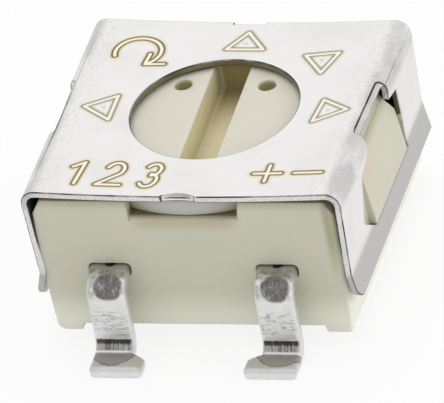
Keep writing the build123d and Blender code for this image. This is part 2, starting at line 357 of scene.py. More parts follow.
class Signal:
    """A number in a shader, with arithmetic that adds Math nodes."""

    def __init__(self, shader, socket):
        self.shader = shader
        self.socket = socket

    def math(self, operation, *values):
        """A Math node on some values."""
        return self.shader.add("ShaderNodeMath", {"operation": operation}, dict(enumerate(values)))

    def __add__(self, other):
        return self.math("ADD", self, other)

    def __radd__(self, other):
        return self.math("ADD", other, self)

    def __sub__(self, other):
        return self.math("SUBTRACT", self, other)

    def __rsub__(self, other):
        return self.math("SUBTRACT", other, self)

    def __mul__(self, other):
        return self.math("MULTIPLY", self, other)

    def __rmul__(self, other):
        return self.math("MULTIPLY", other, self)

    def absolute(self):
        """The value without its sign."""
        return self.math("ABSOLUTE", self)

    def step(self, low, high):
        """Rises smoothly from 0 at low to 1 at high, or falls if low is the larger."""
        if low > high:
            return 1 - self.step(high, low)
        inputs = {"Value": self, "From Min": low, "From Max": high}
        return self.shader.add("ShaderNodeMapRange", {"interpolation_type": "SMOOTHSTEP"}, inputs)

    def within(self, low, high, soft):
        """1 between low and high, falling to 0 over soft on each side."""
        return self.step(low - soft, low + soft) * self.step(high + soft, high - soft)


class Shader:
    """A node tree, and the one method that adds its nodes."""

    def __init__(self, tree):
        self.tree = tree

    def add(self, kind, settings, inputs, output=0):
        """Adds a node: its settings first, then its sockets' values or links; gives one output."""
        node = self.tree.nodes.new(kind)
        stops = settings.pop("stops", None)
        for name, value in settings.items():
            setattr(node, name, value)
        if stops:
            elements = node.color_ramp.elements
            elements.remove(elements[1])
            elements[0].position = stops[0][0]
            elements[0].color = (*stops[0][1], 1.0)
            for position, colour in stops[1:]:
                elements.new(position).color = (*colour, 1.0)
        for socket, value in inputs.items():
            if isinstance(value, Signal):
                self.tree.links.new(value.socket, node.inputs[socket])
            else:
                target = node.inputs[socket]
                is_colour = target.type == "RGBA" and len(value) == 3
                target.default_value = (*value, 1.0) if is_colour else value
        return Signal(self, node.outputs[output])

    def looked_at(self):
        """1 for what the camera or a reflection sees, 0 for light that is on its way."""
        camera = self.add("ShaderNodeLightPath", {}, {}, "Is Camera Ray")
        reflection = self.add("ShaderNodeLightPath", {}, {}, "Is Glossy Ray")
        return camera.math("MAXIMUM", camera, reflection)

    def show_mixed(self, factor, first, second):
        """Puts a mix of two shaders on the tree's output."""
        mix = self.add("ShaderNodeMixShader", {}, {0: factor, 1: first, 2: second})
        output = next(node for node in self.tree.nodes if node.type.startswith("OUTPUT"))
        self.tree.links.new(mix.socket, output.inputs["Surface"])


class Finish(Shader):
    """A material with one Principled shader, and the nodes that feed it."""

    def __init__(self, name, **constants):
        self.material = bpy.data.materials.new(name)
        self.material.use_nodes = True
        super().__init__(self.material.node_tree)
        self.surface = self.tree.nodes["Principled BSDF"]
        for socket, value in constants.items():
            self.surface.inputs[socket.replace("_", " ")].default_value = value
        scaling = {0: self.add("ShaderNodeTexCoord", {}, {}, "Object"), "Scale": 1 / MM}
        self.place = self.add("ShaderNodeVectorMath", {"operation": "SCALE"}, scaling)
        self.x, self.y, self.z = self.parts(self.place)

    def parts(self, vector):
        """The x, y and z of a vector."""
        node = self.add("ShaderNodeSeparateXYZ", {}, {0: vector}).socket.node
        return [Signal(self, node.outputs[i]) for i in range(3)]

    def attribute(self, name):
        """One number of the piece's own attribute."""
        return self.add("ShaderNodeAttribute", {"attribute_name": name}, {}, "Fac")

    def scaled(self, vector, x, y, z):
        """A vector stretched along each axis."""
        return self.add("ShaderNodeVectorMath", {"operation": "MULTIPLY"}, {0: vector, 1: (x, y, z)})

    def noise(self, scale, detail=2.0, roughness=0.5, vector=None, distortion=0.0):
        """Cloudy noise from 0 to 1, by default over the piece's place in millimetres."""
        inputs = {
            "Vector": vector or self.place,
            "Scale": scale,
            "Detail": detail,
            "Roughness": roughness,
            "Distortion": distortion,
        }
        return self.add("ShaderNodeTexNoise", {}, inputs, "Fac")

    def mixed(self, factor, first, second):
        """A colour between first and second."""
        settings = {"data_type": "RGBA", "clamp_factor": True}
        return self.add("ShaderNodeMix", settings, {0: factor, 6: first, 7: second}, 2)

    def ramp(self, value, stops):
        """A colour that follows a value through some stops."""
        return self.add("ShaderNodeValToRGB", {"stops": stops}, {0: value})

    def relief(self, height, depth_mm, strength=1.0):
        """Height, from 0 to 1, as a bump of that depth."""
        inputs = {"Height": height, "Distance": depth_mm * MM, "Strength": strength}
        self.link("Normal", self.add("ShaderNodeBump", {}, inputs))

    def link(self, socket, signal):
        """Feeds one socket of the Principled shader."""
        self.tree.links.new(signal.socket, self.surface.inputs[socket])


def cut_edge_tones(steel, colour, sheared, grains):
    """The sheet's colour with its sheared edges, painted shade on its inner face, on the round window's wall
    and on the edges beside the window's barb, and the torn tab.
    """
    cut_edge = sheared * (0.12 + grains.step(0.50, 0.66) * 0.55)
    colour = steel.mixed(cut_edge, colour, (0.44, 0.425, 0.40))
    # Painted shade on the sheet's inner face above the hem, where the gap to the housing lies in shade
    inner_shade = steel.attribute("inner") * steel.z.step(1.40, 1.80)
    colour = steel.mixed(inner_shade * 0.85, colour, (0.10, 0.10, 0.03))
    # Painted shade: the sheared wall of the round window is painted dark olive
    colour = steel.mixed(sheared * steel.attribute("at_hole") * 0.97, colour, (0.24, 0.21, 0.115))
    # Painted shadow: the sheared edges at the window's rear, beside the barb, are painted dark olive
    barb_shadow = sheared * steel.y.within(0.95, 1.25, 0.02) * steel.z.within(1.64, 2.20, 0.02)
    colour = steel.mixed(barb_shadow * 0.95, colour, (0.12, 0.105, 0.045))
    torn = sheared * steel.x.within(-0.26, 0.21, 0.01) * steel.y.step(-2.0, -2.05)
    return steel.mixed(torn * (0.15 + grains * 0.6), colour, (0.40, 0.40, 0.39))


def painted_rim_shade(steel, x_out, smears):
    """Where the rounded rims get a painted dark shade line: less so in the windows, at the torn tab and on
    the left side.
    """
    in_window = x_out.step(2.26, 2.32) * steel.z.step(2.25, 2.10) * steel.y.absolute().step(1.45, 1.35)
    at_scar = steel.x.within(-0.24, 0.27, 0.01) * steel.y.step(-2.0, -2.05)
    left_inside = steel.x.within(-2.27, -1.0, 0.01) * steel.z.step(1.85, 1.55)
    left_hem = steel.x.step(-2.0, -2.1) * steel.z.step(1.35, 1.15)
    left_fading = (left_inside * 0.85).step(0.0, 1.0) * (1 - left_hem) + left_hem * 0.85
    faded = in_window * 0.85 + at_scar * 0.5 + left_fading
    return steel.attribute("rim") * (0.62 + smears.step(0.35, 0.60) * 0.38) * (1 - faded)


def burnt_marks(steel, colour, near):
    """The sheet's colour with pale strokes, each between two heat-tinted lines."""
    burnt = tuple(bpy.context.scene.trimmer_cover.burnt)
    tint = steel.ramp(
        near,
        [
            (0.0, (0.84, 0.83, 0.80)),
            (0.13, (0.80, 0.775, 0.69)),
            (0.27, (0.82, 0.775, 0.66)),
            (0.45, (0.70, 0.63, 0.44)),
            (0.55, (0.34, 0.27, 0.13)),
            (0.61, burnt),
            (0.73, burnt),
            (0.80, (0.86, 0.78, 0.58)),
            (1.0, (0.98, 0.95, 0.86)),
        ],
    )
    return steel.mixed(near.step(0.0, 0.22) * steel.attribute("mark_heat"), colour, tint)


def steel_finish():
    """Rolled stainless sheet: satin flats, scuffed bends, hems painted grey as painted shade, painted shade
    on the inner face, the rims and the round window's wall, and engraved heat tints.
    """
    sizes = bpy.context.scene.trimmer_cover
    worn = tuple(sizes.worn_steel)
    steel = Finish("rolled_steel", Metallic=0.82)
    x_out = steel.x.absolute()
    bend = x_out.step(2.08, 2.22) * steel.z.step(2.16, 2.36)
    hem = steel.z.step(1.22, 1.12)
    crease = steel.z.within(1.10, 1.26, 0.04)
    grains = steel.noise(30.0, 4.0, 0.65)
    clouds = steel.noise(1.3, 3.0, 0.5)
    smears = steel.noise(2.6, 3.0, 0.55, steel.scaled(steel.place, 1.0, 0.45, 1.0))
    scuffs = grains.step(0.52, 0.62) * x_out.step(1.70, 2.15) * steel.z.step(2.2, 2.45)
    colour = steel.mixed(clouds.step(0.40, 0.75) * 0.16, tuple(sizes.steel), worn)
    colour = steel.mixed(bend * smears.step(0.30, 0.62) * 0.75, colour, worn)
    colour = steel.mixed(scuffs * 0.35, colour, (0.42, 0.41, 0.40))
    # Painted shade: the hems are painted grey for the darker reflection their slant gives
    colour = steel.mixed(hem * 0.95, colour, (0.50, 0.49, 0.475))
    colour = steel.mixed(crease * smears * 0.45, colour, worn)
    sheared = steel.attribute("sheared")
    colour = cut_edge_tones(steel, colour, sheared, grains)
    # Painted shade: a dark line along the rounded rims
    colour = steel.mixed(painted_rim_shade(steel, x_out, smears), colour, (0.045, 0.043, 0.042))
    near = steel.attribute("mark_near")
    colour = burnt_marks(steel, colour, near)
    steel.link("Base Color", colour)
    wear = grains * 0.10 + bend * 0.08 + near.step(0.2, 0.6) * 0.12 + sheared * 0.15
    steel.link("Roughness", 0.30 + wear)
    pits = steel.noise(70.0, 2.0, 0.6)
    steel.relief(pits * 0.35 + grains * bend * 0.65 + clouds * 0.2 + grains * sheared * 0.5, 0.004, 0.5)
    return steel.material


def moulded_base(name, colour, shade, gleam, seed):
    """Fine-grained moulded plastic with faint flow clouds, and its colour for a finish to build on."""
    plastic = Finish(name, Subsurface_Weight=0.12, Subsurface_Scale=0.0003, Specular_IOR_Level=0.42)
    plastic.surface.inputs["Subsurface Radius"].default_value = (1.0, 0.85, 0.5)
    shift = {0: plastic.place, 1: (seed, seed, seed)}
    offset = plastic.add("ShaderNodeVectorMath", {"operation": "ADD"}, shift)
    clouds = plastic.noise(0.9, 3.0, 0.55, offset)
    blush = plastic.noise(1.7, 2.0, 0.5, offset)
    base = plastic.mixed(clouds.step(0.3, 0.75) * 0.45, colour, shade)
    base = plastic.mixed(blush.step(0.52, 0.75) * 0.40, base, gleam)
    grain = plastic.noise(45.0, 3.0, 0.6)
    plastic.link("Roughness", 0.40 + grain * 0.14)
    plastic.relief(grain * 0.6 + clouds * 0.8, 0.004, 0.35)
    return plastic, base


def ivory_finish():
    """The housing, with painted light and shade: paler towards its foot as painted light from the floor, and
    painted olive shade in the notch, the pockets, the right front corner, the sides' upper part and under
    the cover's edge.
    """
    colour = tuple(bpy.context.scene.trimmer_plastics.housing)
    ivory, base = moulded_base("ivory_moulding", colour, (0.66, 0.66, 0.53), (0.74, 0.67, 0.56), 0.0)
    x_out = ivory.x.absolute()
    y_out = ivory.y.absolute()
    side = x_out.step(2.18, 2.23)
    # Painted light and shade: paler towards the foot for light from the floor, and on the sides paler below
    # the hem and darker above it, in the cover's shade
    base = ivory.mixed(ivory.z.step(0.95, 0.30) * 0.95, base, (1.0, 0.995, 0.84))
    base = ivory.mixed(side * ivory.z.step(1.15, 0.85) * 0.8, base, (0.93, 0.93, 0.87))
    base = ivory.mixed(side * ivory.z.step(1.05, 1.15) * 0.45, base, (0.58, 0.56, 0.44))
    blush = side * (ivory.y + ivory.z * 0.5).within(0.15, 0.75, 0.35) * ivory.z.within(1.2, 1.95, 0.2)
    base = ivory.mixed(blush * 0.5, base, (0.68, 0.58, 0.46))
    # Painted shade on the housing's right front corner beside the cover's wall
    corner = ivory.x.within(2.06, 2.19, 0.05) * ivory.y.step(-1.95, -2.08) * ivory.z.step(0.9, 1.9)
    base = ivory.mixed(corner * 0.6, base, (0.30, 0.31, 0.12))
    # Painted shade under the cover's edge, at the top of the front and back faces
    cover_edge_shade = y_out.step(2.08, 2.12) * ivory.z.step(2.24, 2.44)
    base = ivory.mixed(cover_edge_shade * 0.55, base, (0.36, 0.31, 0.17))
    in_notch = x_out.step(0.86, 0.80)
    # Painted shade under the seal's overhang, below the notch
    lip = x_out.step(0.90, 0.55) * ivory.z.step(1.88, 2.04) * y_out.step(1.90, 2.02)
    base = ivory.mixed(lip * 0.42, base, (0.46, 0.39, 0.24))
    # Painted shade on the notch's floor
    floor = in_notch * ivory.z.within(2.00, 2.20, 0.03) * y_out.step(1.70, 1.80) * y_out.step(2.085, 2.02)
    base = ivory.mixed(floor * 0.90, base, (0.26, 0.215, 0.085))
    # Painted shade in the pockets behind the lugs
    beside_pocket = x_out.step(2.22, 2.20) * x_out.step(1.90, 1.96) * ivory.y.within(0.79, 1.80, 0.04)
    pocket = beside_pocket * ivory.z.step(1.34, 1.40)
    base = ivory.mixed(pocket * 0.95, base, (0.32, 0.27, 0.12))
    # Painted shade on the sides' upper part, under the cover
    shoulder_shade = side * ivory.z.step(1.95, 2.25)
    base = ivory.mixed(shoulder_shade * 0.7, base, (0.36, 0.33, 0.19))
    ivory.link("Base Color", base)
    return ivory.material


def cream_finish():
    """The rotor: marbled cream, with painted olive shade inside the slot and the dimples, painted shadow
    towards the slot's rear end and painted light on its floor towards the front.
    """
    colour = tuple(bpy.context.scene.trimmer_plastics.rotor)
    cream, base = moulded_base("cream_moulding", colour, (0.62, 0.61, 0.53), (0.74, 0.68, 0.585), 3.0)
    veins = cream.noise(1.15, 2.0, 0.4, distortion=1.6)
    vein = veins.step(0.455, 0.50) * veins.step(0.545, 0.50)
    base = cream.mixed(vein * cream.x.step(-0.2, 0.7) * 0.14, base, (0.50, 0.52, 0.46))
    # Painted shade by depth: olive inside the driver slot
    deep = cream.z.step(2.385, 2.33)
    slot = deep * cream.x.absolute().step(0.36, 0.33)
    base = cream.mixed(slot * 0.95, base, (0.70, 0.63, 0.40))
    # Painted shadow towards the slot's rear end
    slot_end_shadow = slot * cream.y.step(0.10, 1.30) * cream.x.step(-0.315, -0.24)
    base = cream.mixed(slot_end_shadow * 0.80, base, (0.33, 0.27, 0.11))
    # Painted light on the slot's floor towards its front
    painted_floor_light = cream.z.step(1.99, 1.95) * cream.y.step(0.5, -0.9)
    base = cream.mixed(slot * painted_floor_light * 0.45, base, (0.66, 0.61, 0.47))
    # Painted shade inside the dimples
    dimple = deep * cream.x.absolute().step(0.38, 0.42)
    base = cream.mixed(dimple * 0.85, base, (0.40, 0.38, 0.17))
    cream.link("Base Color", base)
    return cream.material


def seal_finish():
    """Grey-white silicone, a little translucent, warmer towards its lower edge, with painted shade towards
    its ends.
    """
    colour = tuple(bpy.context.scene.trimmer_plastics.seal)
    seal = Finish("silicone", Subsurface_Weight=0.35, Subsurface_Scale=0.0003)
    clouds = seal.noise(1.6, 2.0)
    warm = seal.z.step(2.30, 2.16)
    ends = seal.x.absolute().step(0.30, 0.80)
    base = seal.mixed(clouds.step(0.35, 0.7) * 0.5, colour, (0.56, 0.545, 0.54))
    # Darker and warmer towards the lower edge, with painted shade towards both ends where the notch's walls
    # stand
    base = seal.mixed(warm * 0.55 + ends * 0.45, base, (0.50, 0.47, 0.35))
    seal.link("Base Color", base)
    grain = seal.noise(38.0, 2.0)
    seal.link("Roughness", 0.36 + grain * 0.16)
    seal.relief(grain, 0.002, 0.4)
    return seal.material


def tin_finish():
    """Tin-plated strip: a coined patch, a bright band, drawn wrinkles, a scored bend, a painted highlight on
    the lip, painted shade by the exit and in the nick, and a stained foot.
    """
    sizes = bpy.context.scene.trimmer_terminals
    tin = Finish("tin_plate", Metallic=0.80, Roughness=0.34)
    across = tin.attribute("strip_across")
    run = tin.attribute("strip_run")
    flat = tin.add("ShaderNodeCombineXYZ", {}, {0: across, 1: run, 2: tin.x})
    blotch = tin.noise(9.0, 4.0, 0.65)
    grit = tin.noise(26.0, 3.0, 0.7)
    lines = tin.noise(1.0, 3.0, 0.7, tin.scaled(flat, 46.0, 5.0, 1.0))
    ripple = tin.noise(1.0, 3.0, 0.6, tin.scaled(flat, 7.0, 24.0, 1.0), 1.4)
    outer = tin.attribute("strip_outer").step(0.5, 0.95)
    inside = across.absolute().step(0.285, 0.235) * outer
    on_strip = tin.add("ShaderNodeCombineXYZ", {}, {0: across, 1: run})
    coin_gap = {0: on_strip, 1: (COIN_X, COIN_RUN, 0.0)}
    from_coin = tin.add("ShaderNodeVectorMath", {"operation": "DISTANCE"}, coin_gap, "Value")
    ragged = from_coin + (blotch - 0.5) * 0.11
    coin = ragged.step(0.225, 0.175) * outer
    coin_rim = ragged.within(0.190, 0.212, 0.014) * outer
    smear = run.within(0.12, 0.60, 0.08) * inside * blotch.step(0.38, 0.56)
    wrinkle = run.within(0.84, 1.30, 0.05) * inside * ripple.step(0.54, 0.66)
    scored = run.within(1.315, 1.49, 0.018) * inside
    scored_tone = scored * (0.52 + run.step(1.41, 1.37) * 0.40 + lines.step(0.56, 0.44) * 0.32)
    # Painted highlight: the bright line along the lip where the lower bend meets the foot
    lip = run.within(1.498, 1.512, 0.006) * outer
    foot = run.step(1.512, 1.535) * outer
    stain_edge = run + across * across * 2.2 + (blotch - 0.5) * 0.16
    stain = foot * stain_edge.step(1.85, 1.80)
    stain_rim = foot * stain_edge.within(1.808, 1.832, 0.010)
    exit_shade = run.step(0.36, 0.04) * outer
    # Painted shade in the stamped nick at the strip's exit
    nick = (run + (across - 0.02).absolute() * 0.55).step(0.048, 0.034) * outer
    colour = tin.mixed(blotch.step(0.35, 0.75) * 0.30, tuple(sizes.tin), (0.55, 0.56, 0.53))
    colour = tin.mixed(exit_shade * 0.55 + smear * 0.60, colour, (0.27, 0.265, 0.235))
    coin_tone = tin.ramp(
        grit * 0.30 + lines * 0.30 + blotch * 0.40,
        [
            (0.34, (0.035, 0.034, 0.032)),
            (0.45, (0.12, 0.117, 0.112)),
            (0.54, (0.20, 0.195, 0.19)),
            (0.62, (0.60, 0.60, 0.58)),
        ],
    )
    colour = tin.mixed(coin * 0.94, colour, coin_tone)
    colour = tin.mixed(coin_rim * 0.30, colour, (0.06, 0.058, 0.052))
    colour = tin.mixed(wrinkle * 0.45, colour, tuple(sizes.scuffed_tin))
    colour = tin.mixed(scored_tone, colour, tuple(sizes.scored_tin))
    # Painted highlight on the lip
    colour = tin.mixed(lip * 0.8, colour, (0.86, 0.86, 0.84))
    colour = tin.mixed(foot * 0.45, colour, (0.52, 0.51, 0.46))
    colour = tin.mixed(stain * 0.62, colour, (0.28, 0.265, 0.225))
    colour = tin.mixed(stain_rim * 0.65, colour, (0.09, 0.08, 0.065))
    # Painted shade in the nick
    colour = tin.mixed(nick, colour, (0.012, 0.010, 0.006))
    tin.link("Base Color", colour)
    tin.link("Roughness", 0.28 + blotch * 0.16 + coin * 0.12 + foot * 0.14)
    height = coin * grit * 0.5 + wrinkle * 0.7 + scored * lines * 0.6 + blotch * 0.3 - stain_rim * 0.4
    tin.relief(height, 0.012, 0.8)
    return tin.material


def plain_finish(name, colour, second, metallic, roughness, scale):
    """A hidden piece's finish: two tones of one colour with a fine bump."""
    finish = Finish(name, Metallic=metallic)
    cloud = finish.noise(scale, 3.0, 0.6)
    finish.link("Base Color", finish.mixed(cloud.step(0.35, 0.7), colour, second))
    finish.link("Roughness", roughness + cloud * 0.15)
    finish.relief(cloud, 0.003, 0.5)
    return finish.material


# Mesh helpers


def extruded(outline, axis, low, high):
    """An outline in the other two axes, as a prism along axis from low to high."""
    place = {
        "X": lambda a, b, h: Vector((h, a, b)),
        "Y": lambda a, b, h: Vector((a, h, b)),
        "Z": lambda a, b, h: Vector((a, b, h)),
    }[axis]
    bm = bmesh.new()
    face = bm.faces.new([bm.verts.new(place(a, b, low)) for a, b in outline])
    grown = bmesh.ops.extrude_face_region(bm, geom=[face], use_keep_orig=True)
    moved = [v for v in grown["geom"] if isinstance(v, bmesh.types.BMVert)]
    bmesh.ops.translate(bm, verts=moved, vec=place(0, 0, high - low))
    bmesh.ops.recalc_face_normals(bm, faces=bm.faces)
    return bm


def box(x, y, z):
    """A block between the low and high ends given for each axis."""
    return extruded([(x[0], y[0]), (x[1], y[0]), (x[1], y[1]), (x[0], y[1])], "Z", z[0], z[1])


def cylinder(radius, low, high, x=0.0, y=0.0, segments=ROUND):
    """An upright cylinder between two heights."""
    bm = bmesh.new()
    place = Matrix.Translation((x, y, (low + high) / 2))
    bmesh.ops.create_cone(
        bm, cap_ends=True, segments=segments, radius1=radius, radius2=radius, depth=high - low, matrix=place
    )
    return bm


def arc(centre, radius, start, end, steps):
    """Points of an arc between two angles in degrees."""
    angles = [math.radians(start + (end - start) * i / steps) for i in range(steps + 1)]
    return [(centre[0] + radius * math.cos(a), centre[1] + radius * math.sin(a)) for a in angles]


def mirrored(bm):
    """A copy of bm on the other side of the centre plane."""
    copy = bm.copy()
    bmesh.ops.scale(copy, vec=(-1, 1, 1), verts=copy.verts)
    bmesh.ops.recalc_face_normals(copy, faces=copy.faces)
    return copy


def half_turn(bm):
    """A copy of bm turned half round the upright axis."""
    copy = bm.copy()
    bmesh.ops.rotate(copy, cent=(0, 0, 0), matrix=Matrix.Rotation(math.pi, 3, "Z"), verts=copy.verts)
    return copy


def working_object(bm):
    """A passing object for the Boolean modifiers."""
    mesh = bpy.data.meshes.new("working")
    bm.to_mesh(mesh)
    bm.free()
    obj = bpy.data.objects.new("working", mesh)
    bpy.context.scene.collection.objects.link(obj)
    return obj


def combined(base, changes):
    """base after each change in turn: a pair of DIFFERENCE, UNION or INTERSECT and a bmesh."""
    body = working_object(base)
    tools = []
    for operation, shape in changes:
        tool = working_object(shape)
        change = body.modifiers.new("change", "BOOLEAN")
        change.operation = operation
        change.solver = "EXACT"
        change.object = tool
        tools.append(tool)
    bpy.context.view_layer.update()
    result = bmesh.new()
    result.from_object(body, bpy.context.evaluated_depsgraph_get())
    for obj in [body] + tools:
        mesh = obj.data
        bpy.data.objects.remove(obj)
        bpy.data.meshes.remove(mesh)
    bmesh.ops.remove_doubles(result, verts=result.verts, dist=WELD)
    bmesh.ops.dissolve_degenerate(result, edges=result.edges, dist=WELD)
    return result


def rounded(bm, width, least_angle, segments=2, shortest=0.0):
    """bm with its sharp edges rounded, but for very short ones; a face attribute tells the rounded rims."""
    rim = bm.faces.layers.float.new("rim")
    bmesh.ops.remove_doubles(bm, verts=bm.verts, dist=width * 0.6)
    least_turn = math.radians(least_angle)
    sharp = []
    for edge in bm.edges:
        if edge.is_manifold and edge.calc_length() > shortest and edge.calc_face_angle() > least_turn:
            sharp.append(edge)
    made = bmesh.ops.bevel(
        bm, geom=sharp, offset=width, offset_type="OFFSET", affect="EDGES", segments=segments, profile=0.5,
        clamp_overlap=False, loop_slide=False, material=-1,
    )
    for face in made["faces"]:
        face[rim] = 1.0
    return bm


def finished(name, bm, body, material, nodes=(), smooth_angle=20.0):
    """Turns a millimetre bmesh into a piece that rides on a body."""
    bmesh.ops.scale(bm, vec=(MM, MM, MM), verts=bm.verts)
    mesh = bpy.data.meshes.new(name)
    bm.to_mesh(mesh)
    bm.free()
    mesh.polygons.foreach_set("use_smooth", [True] * len(mesh.polygons))
    mesh.set_sharp_from_angle(angle=math.radians(smooth_angle))
    mesh.materials.append(material)
    obj = bpy.data.objects.new(name, mesh)
    bpy.context.scene.collection.objects.link(obj)
    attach(obj, body)
    if nodes:
        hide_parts(*nodes)


# Cover


def plate_height(x):
    """Height of the bowed plate's upper surface."""
    return COVER_TOP - COVER_SAG * (1 - (x / COVER_HALF_X) ** 2)


def round_folds(bm):
    """Rounds the sheet's corners and creases, each to its own radius."""
    for x, z, radius, segments in (
        (-COVER_HALF_X, COVER_TOP, COVER_CORNER, 14),
        (COVER_HALF_X, COVER_TOP, COVER_CORNER, 14),
        (*LEFT_CREASE, CREASE_RADIUS, 4),
        (*RIGHT_CREASE, CREASE_RADIUS, 4),
    ):
        folds = [e for e in bm.edges if all(math.hypot(v.co.x - x, v.co.z - z) < 1e-3 for v in e.verts)]
        turn = folds[0].calc_face_angle()
        bmesh.ops.bevel(
            bm, geom=folds, offset=radius * math.tan(turn / 2), offset_type="OFFSET", affect="EDGES",
            segments=segments, profile=0.5, clamp_overlap=False, material=-1,
        )


def front_outline(bm):
    """The sheet's outer line in the front view, from the left hem to the right one."""
    front = [v for v in bm.verts if v.co.y < 0]
    outline = [min(front, key=lambda v: v.co.z + v.co.x)]
    while len(outline) < len(front):
        last = outline[-1]
        ahead = [e.other_vert(last) for e in last.link_edges]
        outline.append(next(v for v in ahead if v.co.y < 0 and v not in outline))
    return [(v.co.x, v.co.z) for v in outline]


def folded_sheet():
    """The cover before it is pierced: a bent chain of edges, drawn out along Y and given its thickness."""
    bm = bmesh.new()
    steps = [COVER_HALF_X * (2 * i / BOW_STEPS - 1) for i in range(BOW_STEPS + 1)]
    plate = [(x, plate_height(x)) for x in steps]
    left = [(-HEM[0], HEM[1]), LEFT_CREASE]
    right = [RIGHT_CREASE, HEM]
    chain = [bm.verts.new((x, -COVER_HALF_Y, z)) for x, z in left + plate + right]
    edges = [bm.edges.new(pair) for pair in zip(chain, chain[1:])]
    grown = bmesh.ops.extrude_edge_only(bm, edges=edges)
    moved = [v for v in grown["geom"] if isinstance(v, bmesh.types.BMVert)]
    bmesh.ops.translate(bm, verts=moved, vec=(0, 2 * COVER_HALF_Y, 0))
    bmesh.ops.recalc_face_normals(bm, faces=bm.faces)
    round_folds(bm)
    outline = front_outline(bm)
    upward = max(bm.faces, key=lambda f: f.calc_center_median().z).normal.z > 0
    if not upward:
        bmesh.ops.reverse_faces(bm, faces=bm.faces)
    bmesh.ops.solidify(bm, geom=bm.faces[:], thickness=COVER_SHEET)
    bmesh.ops.recalc_face_normals(bm, faces=bm.faces)
    return bm, outline


def mark_sheared_faces(bm, outline):
    """Tells the cut faces, which span the sheet, from the rolled faces."""
    x = np.array([v.co.x for v in bm.verts])
    z = np.array([v.co.z for v in bm.verts])
    depth = dict(zip(bm.verts, (stroke_distance(outline, x, z) / COVER_SHEET).tolist()))
    sheared = bm.faces.layers.float.new("sheared")
    inner = bm.faces.layers.float.new("inner")
    at_hole = bm.faces.layers.float.new("at_hole")
    for face in bm.faces:
        depths = [depth[v] for v in face.verts]
        span = max(depths) - min(depths)
        centre = face.calc_center_median()
        face[sheared] = 1.0 if span > 0.6 else 0.0
        face[inner] = 1.0 if min(depths) > 0.7 else 0.0
        face[at_hole] = 1.0 if math.hypot(centre.x, centre.y) < HOLE_RADIUS + 0.02 else 0.0


def slot_tool():
    """Cutter for the slot through the plate, whose inner wall leans out towards its foot."""
    rear = arc(SLOT_ROUND_CENTRE, SLOT_ROUND, 180, 90, 3)
    outline = [(SLOT_INNER_X, SLOT_FRONT)] + rear + [(REACH, SLOT_REAR), (REACH, SLOT_FRONT)]
    tool = extruded(outline, "Z", *PLATE_SPAN)
    for vert in tool.verts:
        if vert.co.x < REACH - 1:
            vert.co.x += (SLOT_LEAN_FROM - vert.co.z) * SLOT_LEAN
    bmesh.ops.triangulate(tool, faces=tool.faces)
    return tool


def window_tools():
    """Cutters for one wall's window: the slot through the fold and the wide opening below it."""
    slot = [(SLOT_FRONT, 2.15), (SLOT_REAR, 2.15), (SLOT_REAR, 2.46), (SLOT_FRONT, 2.46)]
    front = [(-1.01, 2.10), (-1.23, 1.47), (-1.18, 1.38), (-0.76, 1.07)]
    rear = [(1.19, 1.07), (1.19, 1.47), (1.10, 2.13), (0.60, 2.24), (-0.50, 2.26)]
    return [
        slot_tool(),
        extruded(slot, "X", WALL_INSIDE, REACH),
        extruded(front + rear, "X", WALL_INSIDE, REACH),
    ]


def torn_tab_tools():
    """Cutters for the scar of a tie bar on the front edge: a shallow bow, and a deeper one at its top."""
    front = -COVER_HALF_Y
    tools = []
    for depth, low in ((0.024, PLATE_SPAN[0]), (0.068, 2.485)):
        bow = []
        for i in range(TORN_STEPS + 1):
            x = TORN_FROM + TORN_WIDTH * i / TORN_STEPS
            bow.append((x, front + 0.02 + depth * math.sin(math.pi * i / TORN_STEPS)))
        outline = [(TORN_FROM, front - 0.1)] + bow + [(TORN_TO, front - 0.1)]
        tools.append(extruded(outline, "Z", low, PLATE_SPAN[1]))
    return tools


def hem_corner_tool(side, radius):
    """What rounds a hem's lower corner: a square without its quarter disc."""
    centre = (side * (COVER_HALF_Y + 0.03 - radius), HEM[1] - 0.035 + radius)
    bend = arc(centre, radius, -72, 0, 10) if side > 0 else arc(centre, radius, -108, -180, 10)
    corner = (side * (COVER_HALF_Y + 0.1), HEM[1] - 0.1)
    outline = [(bend[0][0], corner[1])] + bend + [(corner[0], centre[1]), corner]
    return extruded(outline, "X", WALL_INSIDE, REACH)


def pierced_cover():
    """The cover with its hole, windows, hem corners and tie bars cut, and its outline in the front view."""
    changes = [("DIFFERENCE", cylinder(HOLE_RADIUS, *PLATE_SPAN, segments=256))]
    hem_corners = [hem_corner_tool(-1, FRONT_HEM_ROUND), hem_corner_tool(1, REAR_HEM_ROUND)]
    for tool in window_tools() + hem_corners:
        other = mirrored(tool)
        changes += [("DIFFERENCE", tool), ("DIFFERENCE", other)]
    changes += [("DIFFERENCE", tool) for tool in torn_tab_tools()]
    rear_recess = (COVER_HALF_Y - TIE_BAR_RECESS, REACH)
    changes.append(("DIFFERENCE", box((-TIE_BAR_HALF, TIE_BAR_HALF), rear_recess, PLATE_SPAN)))
    sheet, outline = folded_sheet()
    return combined(sheet, changes), outline


class TRIMMER_OT_cover(bpy.types.Operator):
    """Builds the folded, pierced steel cover"""

    bl_idname = "trimmer.cover"
    bl_label = "Build cover"

    def execute(self, context):
        bm, outline = pierced_cover()
        width = context.scene.trimmer_cover.edge_round / MM
        rounded(bm, width, 34, shortest=width * 0.6)
        mark_sheared_faces(bm, outline)
        finished("cover_sheet", bm, "base", steel_finish(), ["cover"])
        return {"FINISHED"}


# Housing


